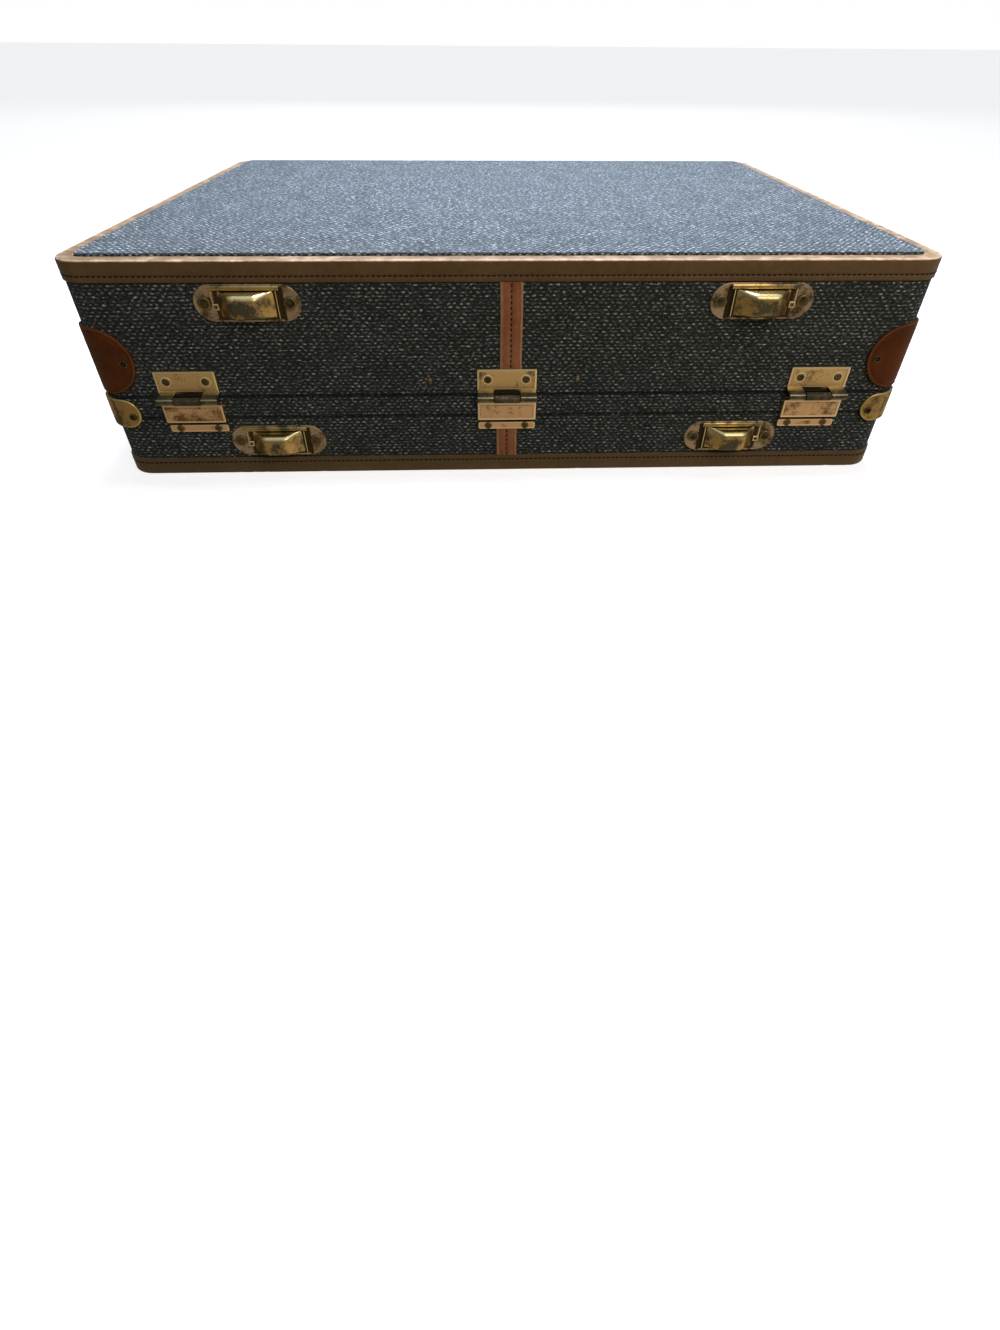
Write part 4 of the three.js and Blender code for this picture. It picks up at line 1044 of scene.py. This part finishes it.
nail = {"places": (-57.5, 53.0), "up": 12.6,
        "head": [(2.1, -0.3), (2.1, 0.2), (1.7, 0.65), (0.9, 0.9), (0.1, 0.95)]}
nails = [turnedShape(onHinge, x, pinCentre[2] + nail["up"], nail["head"], 14, wearAt=(3, 4))
         for x in nail["places"]]
makePiece("deep_side_nails", joined(*nails), darkRivet, "deep_half", ())


# ---- hinges

hinge = {"knuckle": 19.5, "barrel": 2.75, "leafBottom": 3.7, "leafOut": 1.8, "border": 2.1,
         "rivetSpacing": 14.3, "rivetRadius": 3.1, "rivetUp": 12.9, "blockTop": -4.9, "blockBottom": -19.7,
         "blockOut": 4.0, "tabBottom": -28.7, "tabRivetUp": -25.4, "pinOut": 8.0}


def engraved(out, border, sink=0.28, ease=0.45, base=0.0):
    # profile of a stamped plate: eased edge, flat margin, a fine engraved line, flat field
    return [(0, base), (0, out - ease), (0.3 * ease, out - 0.3 * ease), (ease, out), (border - 0.35, out),
            (border - 0.15, out - sink), (border + 0.15, out - sink), (border + 0.35, out),
            (border + 1.2, out)]


def makeHinge(place):
    low, high = boxOf("hinge_deep_leaf_" + place)
    x = (low[0] + high[0]) / 2
    width = high[0] - low[0]
    z0 = pinCentre[2]
    barrelR, pinOut = hinge["barrel"], hinge["pinOut"]
    leafTop = high[2] - z0
    leafHeight = leafTop - hinge["leafBottom"]
    leaf = plate(onHinge, x, z0 + (leafTop + hinge["leafBottom"]) / 2, width, leafHeight, 0.9,
                 engraved(hinge["leafOut"], hinge["border"]), wearAt=(2, 3))
    # polished rings that the rivets have left round their heads
    headR, leafOut = hinge["rivetRadius"], hinge["leafOut"]
    rings = [turnedShape(onHinge, x + side * hinge["rivetSpacing"], z0 + hinge["rivetUp"],
                         [(headR + 0.8, leafOut - 0.1), (headR + 0.65, leafOut + 0.12),
                          (headR - 0.5, leafOut + 0.16)],
                         24, wearAt=(0, 1, 2)) for side in (-1, 1)]
    # the ledge and the rolled knuckle on each side of the middle one, as one curled section; its folds
    # carry painted highlights in the bright colour, and the rest a little painted shade in the tarnish colour
    curl = arc((pinOut, z0), barrelR, 78, -165, 16)
    section = np.vstack([[(0.1, z0 + 4.1), (3.2, z0 + 4.0), (5.6, z0 + 3.5)], curl,
                         [(4.7, z0 + 1.2), (3.2, z0 + 2.0), (0.1, z0 + 2.2)]])
    lit = np.full((1, len(section)), -0.3)
    lit[0, [1, 5, 10]] = [1.2, 0.7, 0.6]
    notch = hinge["knuckle"] / 2 + 0.4
    apron = plate(onHinge, x, z0 + 2.6, width - 1.0, 3.4, 0.3,
                  [(0, 0.1), (0, 1.0), (0.1, 1.2), (0.4, 1.2)], 3)
    # painted shade on the apron, which shows in the notch between the curls
    apron["wear"] -= 0.6
    curls = [bar(onHinge, section, x0, x1, 0.35, wear=lit)
             for x0, x1 in ((x - width / 2, x - notch), (x + notch, x + width / 2))]
    makePiece("hinge_upper_leaf_" + place, joined(leaf, *rings), hingeBrass, "deep_half",
              ["hinge_deep_leaf_" + place])
    makePiece("hinge_upper_curls_" + place, joined(apron, *curls), knuckleBrass, "deep_half", ())

    blockHeight = hinge["blockTop"] - hinge["blockBottom"]
    block = plate(onHinge, x, z0 + (hinge["blockTop"] + hinge["blockBottom"]) / 2, width, blockHeight, 0.8,
                  engraved(hinge["blockOut"], 2.3, base=1.0), wearAt=(2, 3))
    tabHeight = hinge["blockBottom"] - hinge["tabBottom"]
    tab = plate(onHinge, x, z0 + (hinge["blockBottom"] + hinge["tabBottom"]) / 2 - 1.3, width,
                tabHeight - 2.6, 1.6,
                [(0, 0.1), (0, 1.4), (0.15, 1.7), (0.45, 1.85), (1.6, 1.85)], wearAt=(3,))
    # painted shade on the tab's edge walls, below the block's step
    tab["wear"] -= 2.5 * (hingeY - tab["points"][:, 1] < 1.75)
    neck = bar(onHinge, [(1.2, z0 - 6.4), (3.6, z0 - 6.4), (3.9, z0 - 4.4), (6.4, z0 - 2.3), (8.6, z0 - 0.6),
                         (6.9, z0 + 0.8),
                         (5.2, z0 - 0.6), (2.6, z0 - 3.4), (1.2, z0 - 4.4)], x - 9.4, x + 9.4, 0.3)
    wrapR, half = barrelR + 0.35, hinge["knuckle"] / 2
    knuckle = turnedShape(onHinge, x, (pinOut, z0), [(wrapR - 0.4, -half), (wrapR, -half + 0.3),
                                                     (wrapR, half - 0.3),
                                                     (wrapR - 0.4, half)], 28, axis="x")
    # the step down from the block to the tab, painted near black as the shade under the block
    seam = plate(onHinge, x, z0 + hinge["blockBottom"] - 1.0, width - 0.5, 3.8, 0.3,
                 [(0, 0.2), (0, 0.7), (0.2, 0.8)], 2)
    seam["wear"] -= 3.0
    knuckle["wear"] -= 0.4
    block["wear"] -= {"left": 0.35, "middle": 0.0, "right": 0.1}[place]
    makePiece("hinge_lower_leaf_" + place, joined(block, tab), blockBrass, "lid",
              ["hinge_lid_leaf_" + place])
    makePiece("hinge_knuckle_" + place, joined(neck, knuckle, seam), knuckleBrass, "lid", ())
    half = width / 2
    pin = turnedShape(onHinge, x, (pinOut, z0),
                      [(0.3, -half - 0.55), (1.2, -half - 0.45), (1.7, -half - 0.1), (1.7, -half + 0.05),
                       (1.2, -half + 0.1),
                       (1.2, half - 0.1), (1.7, half - 0.05), (1.7, half + 0.1), (1.2, half + 0.45),
                       (0.3, half + 0.55)],
                      16, wearAt=(1, 8), axis="x")
    makePiece("hinge_pin_rod_" + place, pin, darkRivet, "lid", ["hinge_pin_" + place])
    upper = [rivet(onHinge, x + side * hinge["rivetSpacing"], z0 + hinge["rivetUp"], hinge["rivetRadius"],
                   hinge["leafOut"] - 0.1, 1.0) for side in (-1, 1)]
    makePiece("hinge_upper_rivets_" + place, joined(*upper), darkRivet, "deep_half", ())
    lower = [rivet(onHinge, x + side * hinge["rivetSpacing"], z0 + hinge["tabRivetUp"],
                   hinge["rivetRadius"] * 0.92,
                   1.75, 1.0) for side in (-1, 1)]
    makePiece("hinge_lower_rivets_" + place, joined(*lower), darkRivet, "lid", ())


for place in ("left", "middle", "right"):
    makeHinge(place)
print("hinges made")


# ---- feet

foot = {"trayWidth": 47.0, "saddleHalf": 20.0, "saddleLow": -10.2, "saddleHigh": 8.6,
        "crestHalf": 6.5, "floor": 1.5, "rivetSpacing": 29.0, "rivetRadius": 4.6}


def footSaddle(x, up, crest, outerWay):
    # A bridge pressed out of the tray: out = floor + rise(u) * round(v), where rise eases from the
    # shoulders to the crest and round closes the top and the bottom like a superellipse.
    u = np.linspace(-1, 1, 57)
    v = np.linspace(-1, 1, 33)
    v = np.sign(v) * np.abs(v) ** 0.6
    half = foot["saddleHalf"]
    shoulder = np.clip((half - np.abs(u) * half) / (half - foot["crestHalf"]), 0, 1)
    rise = (shoulder ** 2 * (3 - 2 * shoulder)) ** 0.9
    height = (foot["saddleHigh"] - foot["saddleLow"]) / 2
    rounded = np.sqrt(np.clip(1 - np.abs(v) ** 5, 0, 1))
    out = foot["floor"] + (crest - foot["floor"]) * (rise[None, :] * rounded[:, None])
    out += 0.12 * np.sin(3 * u[None, :] + 1) * rounded[:, None]
    gridX = x + outerWay * half * u[None, :] + 0 * out
    gridUp = up + (foot["saddleHigh"] + foot["saddleLow"]) / 2 + height * v[:, None] + 0 * out
    front = onHinge(gridX, gridUp, out)
    back = onHinge(gridX, gridUp, np.full(out.shape, foot["floor"] - 0.6))
    rings = np.concatenate([front, back[:, ::-1]], axis=1)
    # the upper edge carries a painted highlight in the bright colour, and the crest below it a painted dark
    # reflection in the tarnish colour
    tarnishAndPaintedDark = 0.42 * np.exp(-(u[None, :] / 0.4) ** 2) * np.clip(1.3 - 1.6 * v[:, None], 0, 1)
    paintedHighlightAndDarkReflection = np.clip(v, 0, 1)[:, None] ** 3 - tarnishAndPaintedDark
    wear = np.concatenate([paintedHighlightAndDarkReflection, np.zeros(out.shape)], axis=1)
    return loft(rings, wear=wear)


def makeFoot(node, body):
    plateLow, plateHigh = boxOf(node + "_plate")
    bumperLow = boxOf(node + "_bumper")[0]
    x = (plateLow[0] + plateHigh[0]) / 2
    up = (plateLow[2] + plateHigh[2]) / 2
    way = np.sign(x)                                        # towards the near end of the case
    width, height = plateHigh[0] - plateLow[0], plateHigh[2] - plateLow[2]
    crest = hingeY - bumperLow[1]
    base = plate(onHinge, x, up, width, height, height / 2,
                 [(0, 0.1), (0, 1.15), (0.18, 1.5), (0.55, 1.68), (1.0, 1.62), (1.35, 1.45), (2.4, 1.45)], 14)
    halfTray = foot["trayWidth"] / 2
    upper = bar(onHinge, [(1.2, up + 12.2), (3.0, up + 12.3), (3.6, up + 11.6), (3.8, up + 10.0),
                          (3.3, up + 9.2), (1.2, up + 9.1)],
                x - halfTray, x + halfTray, 0.5, wear=0.1)
    lower = bar(onHinge, [(1.2, up - 10.9), (2.5, up - 11.1), (2.7, up - 11.6), (2.5, up - 12.3),
                          (1.2, up - 12.5)],
                x - halfTray, x + halfTray, 0.4, wear=0.3)
    # the end of the tray towards the middle is a folded wall, beside a deep channel painted near black as
    # shade
    inner = x - way * (halfTray - 2.6)
    wall = plate(onHinge, inner, up - 0.8, 0.9, 19.4, 0.4, [(0, 1.0), (0, 2.9), (0.2, 3.2), (0.4, 3.2)],
                 3, wearAt=(2, 3))
    channel = plate(onHinge, inner - way * 2.6, up - 0.8, 3.6, 23.0, 0.5,
                    [(0, 1.0), (0, 1.72), (0.25, 1.78), (0.5, 1.6)], 3)
    channel["wear"] -= 3.0
    under = plate(onHinge, x, up - 0.8, 2 * foot["saddleHalf"] + 3.0, 20.4, 1.0,
                  [(0, 1.0), (0, 1.74), (0.25, 1.8), (0.6, 1.8)], 3)
    # painted shade on the rim of this plate, which shows round the saddle
    under["wear"] -= 2.0
    # a small square lug with a punched hole at the other end
    lug = plate(onHinge, x + way * (halfTray - 2.1), up - 2.2, 4.6, 4.6, 0.4,
                [(0, 1.0), (0, 2.6), (0.3, 2.9), (1.1, 2.9), (1.25, 2.6), (1.3, 1.6)], 3, wearAt=(2, 3))
    ear = plate(onHinge, x + way * (halfTray - 0.7), up + 4.4, 1.4, 8.5, 0.5,
                [(0, 1.0), (0, 2.4), (0.3, 2.7), (0.6, 2.7)], 3,
                wearAt=(2, 3))
    makePiece(node + "_base", joined(base, lower, channel, under, lug, ear), footPlateBrass, body,
              [node + "_plate"])
    makePiece(node + "_tray_edges", joined(upper, wall), footBrass, body, ())
    makePiece(node + "_saddle", footSaddle(x, up, crest, way), footBrass, body,
              [node + "_bumper"])
    heads = [rivet(onHinge, x + side * foot["rivetSpacing"], up, foot["rivetRadius"], 1.3, 1.4, 22)
             for side in (-1, 1)]
    makePiece(node + "_rivets", joined(*heads), darkRivet, body, ())


for hand in ("left", "right"):
    makeFoot("lid_foot_" + hand, "lid")
    makeFoot("deep_foot_" + hand, "deep_half")
print("feet made")


# ---- latches

latch = {"keyFromMiddle": 21.5, "rivetInset": 3.6, "rivetRadius": 1.9}
hasp = {"barrel": 2.3, "armHalf": 0.9, "rootHalf": 5.3, "rivetSpacing": 6.4, "rivetUp": 4.4,
        "rivetRadius": 2.1}


def makeLatch(hand):
    low, high = boxOf("latch_plate_" + hand)
    x = -(low[0] + high[0]) / 2
    up = (low[2] + high[2]) / 2
    width, height = high[0] - low[0], high[2] - low[2]
    way = 1 if hand == "left" else -1                       # towards the near end, seen from outside
    out = high[1] - handleY
    face = plate(onHandle, x, up, width, height, 4.0, engraved(out, 2.0), 8, wearAt=(2, 3))
    slotLow, slotHigh = boxOf("latch_slide_" + hand)
    slotX = -(slotLow[0] + slotHigh[0]) / 2 + way * 3.0
    keyX = x - way * latch["keyFromMiddle"]
    frameRing = plate(onHandle, slotX, up, 16.6, 14.6, 1.6,
                      [(0, out - 0.3), (0, out + 0.2), (0.2, out + 0.45), (0.6, out + 0.5), (0.9, out + 0.3),
                       (1.0, out - 0.2)],
                      6, wearAt=(2, 3))
    escutcheon = turnedShape(onHandle, keyX, up, [(4.4, out - 0.3), (4.4, out + 0.3), (4.0, out + 0.65),
                                                            (3.2, out + 0.7), (2.4, out + 0.5),
                                                  (0.1, out + 0.5)], 26, wearAt=(2, 3))
    makePiece("latch_face_" + hand, joined(face, frameRing, escutcheon), hingeBrass, "deep_half",
              ["latch_plate_" + hand])
    keyhole = joined(
        turnedShape(onHandle, keyX, up + 0.7, [(1.0, out), (1.0, out + 0.56), (0.1, out + 0.57)], 16),
        plate(onHandle, keyX, up - 0.8, 0.9, 3.0, 0.2, [(0, out), (0, out + 0.56), (0.2, out + 0.57)], 2))
    makePiece("latch_keyhole_" + hand, keyhole, darkRivet, "deep_half", ())
    across, rise = width / 2 - latch["rivetInset"], height / 2 - latch["rivetInset"]
    pins = [rivet(onHandle, x + dx * across, up + dz * rise, latch["rivetRadius"], out - 0.1, 0.6, 14)
            for dx in (-1, 1) for dz in (-1, 1)]
    makePiece("latch_rivets_" + hand, joined(*pins), darkRivet, "deep_half", ())

    low, high = boxOf("latch_slide_" + hand)
    x = -(low[0] + high[0]) / 2
    top = high[1] - handleY
    button = plate(onHandle, x, up, high[0] - low[0], high[2] - low[2], 1.5,
                   [(0, top - 3.0), (0, top - 0.9), (0.2, top - 0.5), (0.6, top - 0.3), (1.6, top - 0.3)],
                   5, wearAt=(2, 3))
    neck = plate(onHandle, x, up, 4.2, 5.8, 0.5, [(0, 1.2), (0, top - 2.0), (0.3, top - 2.0)], 3)
    ribs = [bar(onHandle, arc((top - 0.5, up + dz), 0.55, -100, 100, 8), x - 3.4, x + 3.4, 0.3, wear=1.0)
            for dz in (-3.6, -1.8, 0.0, 1.8, 3.6)]
    makePiece("latch_button_" + hand, joined(button, neck, *ribs), hingeBrass, "latch_button_" + hand,
              ["latch_slide_" + hand])


def makeHasp(hand):
    low, high = boxOf("hasp_" + hand)
    pinA, pinB = boxOf("hasp_pin_" + hand)
    pin = (pinA + pinB) / 2
    x = -pin[0]
    z0 = pin[2]
    pinOut = pin[1] - handleY
    width = high[0] - low[0]
    top = high[2]
    barrelR, half = hasp["barrel"], hasp["armHalf"]
    # the arm rises over the latch and curls out at its end for the thumb
    up = np.linspace(z0 + 3.8, top - 2.6, 12)
    outer = np.full(12, pinOut + half)
    inner = np.full(12, pinOut - half)
    curl = arc((outer[-1] + 1.6, top - 2.4), 1.6, 180, 95, 6)
    back = arc((outer[-1] + 1.6, top - 2.4), 2.4, 95, 180, 6)
    section = np.vstack([np.stack([outer, up], -1), curl, np.minimum(back, [99, top]),
                         np.stack([inner, up], -1)[::-1]])
    arm = bar(onHandle, section, x - width / 2, x + width / 2, 0.5, wear=1.0)
    root = bar(onHandle, [(inner[0], z0 + 0.8), (outer[0], z0 + 0.8), (outer[0], z0 + 4.2),
                          (inner[0], z0 + 4.2)],
               x - hasp["rootHalf"], x + hasp["rootHalf"], 0.3)
    field = plate(onHandle, x, (z0 + 5 + top - 5) / 2, width - 5, top - z0 - 11, 2.5,
                  [(0, pinOut), (0, pinOut + 1.15), (0.25, pinOut + 1.35), (0.8, pinOut + 1.35),
                   (1.1, pinOut + 1.1), (2.0, pinOut + 1.1)],
                  6, wearAt=(2, 3))
    barrel = turnedShape(onHandle, x, (pinOut, z0), [(barrelR - 0.35, -5.5), (barrelR, -5.2), (barrelR, 5.2),
                                                     (barrelR - 0.35, 5.5)],
                         24, wearAt=(0, 3), axis="x")
    makePiece("hasp_arm_" + hand, joined(arm, root, field, barrel), hingeBrass, "hasp_" + hand,
              ["hasp_" + hand])

    low, high = boxOf("hasp_plate_" + hand)
    base = rimProud + case["gap"]
    back = plate(onHandle, x, (low[2] + z0) / 2 - 0.4, width, z0 - low[2] - 0.8, 1.6,
                 [(0, base), (0, base + 1.0), (0.15, base + 1.3), (0.5, base + 1.45), (1.6, base + 1.45)],
                 6, wearAt=(2, 3))
    shapes = [back]
    for side in (-1, 1):
        middle = x + side * (width / 2 - 2.6)
        shapes.append(turnedShape(onHandle, middle, (pinOut, z0),
                                  [(barrelR - 0.35, -2.6), (barrelR, -2.3), (barrelR, 2.3),
                                                                   (barrelR - 0.35, 2.6)], 24,
                                  wearAt=(0, 3), axis="x"))
        shapes.append(bar(onHandle, [(base, z0 - 3.2), (base + 1.4, z0 - 3.0), (pinOut + 0.4, z0 - 2.0),
                                     (pinOut, z0 - 0.4),
                                     (base + 0.4, z0 + 0.4), (base, z0)], middle - 2.5, middle + 2.5, 0.25))
    makePiece("hasp_base_" + hand, joined(*shapes), hingeBrass, "lid", ["hasp_plate_" + hand])
    heads = [rivet(onHandle, x + side * hasp["rivetSpacing"], low[2] + hasp["rivetUp"], hasp["rivetRadius"],
                   base + 1.35, 0.7, 14) for side in (-1, 1)]
    makePiece("hasp_rivets_" + hand, joined(*heads), darkRivet, "lid", ())
    half = width / 2
    rod = turnedShape(onHandle, x, (pinOut, z0), [(0.2, -half - 0.4), (0.9, -half - 0.25), (1.3, -half),
                                                  (0.95, -half + 0.1),
                                                  (0.95, half - 0.1), (1.3, half), (0.9, half + 0.25),
                                                  (0.2, half + 0.4)],
                      14, axis="x")
    makePiece("hasp_pin_rod_" + hand, rod, darkRivet, "lid", ["hasp_pin_" + hand])


for hand in ("left", "right"):
    makeLatch(hand)
    makeHasp(hand)
print("latches made")


# ---- handle

handle = {"pivotOut": 9.5, "wire": 1.8, "lug": 4.6, "lugThick": 4.0, "rivetAcross": 8.2, "rivetUp": 10.2,
          "rivetRadius": 2.2}


def makeMount(hand):
    low, high = boxOf("handle_mount_" + hand)
    x = -(low[0] + high[0]) / 2
    up = (low[2] + high[2]) / 2
    width, height = high[0] - low[0], high[2] - low[2]
    base = plate(onHandle, x, up, width, height, 5.0, engraved(1.9, 2.2), 8, wearAt=(2, 3))
    pivot = handle["pivotOut"]
    half = handle["lugThick"] / 2
    lugSection = np.vstack([[(1.2, up - 6.4), (3.4, up - 5.6)],
                            arc((pivot, up), handle["lug"], -120, 120, 18),
                            [(3.4, up + 5.6), (1.2, up + 6.4)]])
    lug = bar(onHandle, lugSection, x - half, x + half, 0.5, wear=1.0)
    makePiece("handle_bracket_" + hand, joined(base, lug), hingeBrass, "deep_half",
              ["handle_mount_" + hand])
    heads = [rivet(onHandle, x + dx * handle["rivetAcross"], up + dz * handle["rivetUp"],
                   handle["rivetRadius"],
                   1.8, 0.8, 14) for dx in (-1, 1) for dz in (-1, 1)]
    makePiece("handle_bracket_rivets_" + hand, joined(*heads), darkRivet, "deep_half", ())


def makeRing(hand):
    # A wire loop: a round section carried round a rounded rectangle, flat in the plane of the pivot.
    low, high = boxOf("handle_ring_" + hand)
    x = -(low[0] + high[0]) / 2
    wire = handle["wire"]
    path = outlineRings(high[0] - low[0] - 2 * wire, high[2] - low[2] - 2 * wire, 3.0, [0.0], 8, 6)[0]
    tangent = np.roll(path, -1, 0) - np.roll(path, 1, 0)
    tangent /= np.linalg.norm(tangent, axis=1)[:, None]
    normal = np.stack([tangent[:, 1], -tangent[:, 0]], -1)
    angle = np.linspace(0, 2 * np.pi, 14, endpoint=False)
    flat = path[:, None] + wire * np.cos(angle)[None, :, None] * normal[:, None]
    out = (low[1] + high[1]) / 2 - handleY + wire * np.sin(angle)[None, :] + 0 * flat[..., 0]
    rings = onHandle(x + flat[..., 0], (low[2] + high[2]) / 2 + flat[..., 1], out)
    makePiece("handle_wire_ring_" + hand, loft(rings, closed=True), hingeBrass, "handle",
              ["handle_ring_" + hand])


def makeGrip():
    # Centre line: down from one ring, round a bend, along the bar, and up to the other ring. The
    # section is a superellipse whose half sizes swell from the strap to the padded bar.
    low, high = boxOf("handle_grip")
    pivot = boxOf("handle_ring_left")
    pivotUp = pivot[1][2] - handle["wire"]
    span = {"end": 65.0, "drop": 34.0, "bend": 12.0, "wrapUp": 9.4}
    up0 = -span["wrapUp"]
    straight = span["drop"] - span["bend"] + up0
    bend = span["bend"] * np.pi / 2
    legLengths = np.array([straight, bend, 2 * (span["end"] - span["bend"]), bend, straight])
    ends = np.concatenate([[0], np.cumsum(legLengths)])
    t = np.concatenate([np.linspace(0, ends[1], 6)[:-1], np.linspace(ends[1], ends[2], 10)[:-1],
                        np.linspace(ends[2], ends[3], 46)[:-1], np.linspace(ends[3], ends[4], 10)[:-1],
                        np.linspace(ends[4], ends[5], 6)])
    turns = np.radians([180, 180, 270, 270, 360, 360])      # the way out of the path at each leg's end
    angle = np.interp(t, ends, turns)
    centreX = np.interp(t, ends, (span["end"] - span["bend"]) * np.array([-1, -1, -1, 1, 1, 1]))
    centreUp = np.interp(t, ends, [up0, -span["drop"] + span["bend"], -span["drop"] + span["bend"],
                                   -span["drop"] + span["bend"], -span["drop"] + span["bend"], up0])
    lineX = centreX + span["bend"] * np.cos(angle)
    lineUp = centreUp + span["bend"] * np.sin(angle)
    along = np.clip(1 - np.abs(2 * t / ends[-1] - 1), 0, 1)
    swell = np.clip((along - 0.2) / 0.42, 0, 1)
    swell = swell ** 2 * (3 - 2 * swell)
    wide = 5.3 + 4.4 * swell                                # in the handle's plane
    thick = 4.3 + 3.0 * swell                               # out of it
    turn = np.linspace(0, 2 * np.pi, 28, endpoint=False)
    power = 0.78
    a = np.sign(np.cos(turn)) * np.abs(np.cos(turn)) ** power
    b = np.sign(np.sin(turn)) * np.abs(np.sin(turn)) ** power
    normalX, normalUp = np.cos(angle), np.sin(angle)
    px = lineX[:, None] + (wide[:, None] * a) * normalX[:, None]
    pz = pivotUp + lineUp[:, None] + (wide[:, None] * a) * normalUp[:, None]
    out = (low[1] + high[1]) / 2 - handleY + thick[:, None] * b
    wear = np.clip(swell[:, None] * (np.cos(turn) > 0.2) * 0.5, 0, 1)
    skin = loft(onHandle(px, pz, out), wear=wear)
    # the strap's ends close over each ring in a loop
    loops = []
    for side in (-1, 1):
        section = arc((handle["pivotOut"], pivotUp + up0 - 0.6), 4.4, 0, 345, 22)
        loops.append(bar(onHandle, section, side * span["end"] - 5.4,
                         side * span["end"] + 5.4, 0.9, wear=0.6))
    grip = makePiece("handle_leather_grip", joined(skin, *loops), handleHide, "handle", ["handle_grip"])
    # one seam along the underside of the bar and up each end
    pitch = 4.2
    count = int((ends[-1] - 16) / pitch)
    at = 8 + (np.arange(count) + 0.5) * pitch
    ang = np.interp(at, ends, turns)
    sx = np.interp(at, t, lineX)
    sz = np.interp(at, t, lineUp)
    width = np.interp(at, t, wide)
    depth = np.interp(at, t, thick)
    seams = []
    for face in (-1, 1):
        lean = np.radians(38)
        ca, sb = np.cos(lean) ** power, np.sin(lean) ** power
        points = onHandle(sx + width * ca * np.cos(ang), pivotUp + sz + width * ca * np.sin(ang),
                          handle["pivotOut"] + face * depth * sb)
        run = np.stack([np.sin(ang), np.zeros(count), np.cos(ang)], -1)
        out3 = np.stack([-np.cos(ang) * 0.6, np.full(count, face * 0.8), np.sin(ang) * 0.6], -1)
        seams.append(stitchRow((points, run, out3), 1.5, 0.45, 0.36))
    makePiece("handle_grip_stitches", joined(*seams), seamThread, "handle", ())


for hand in ("left", "right"):
    makeMount(hand)
    makeRing(hand)
makeGrip()
print("handle made")
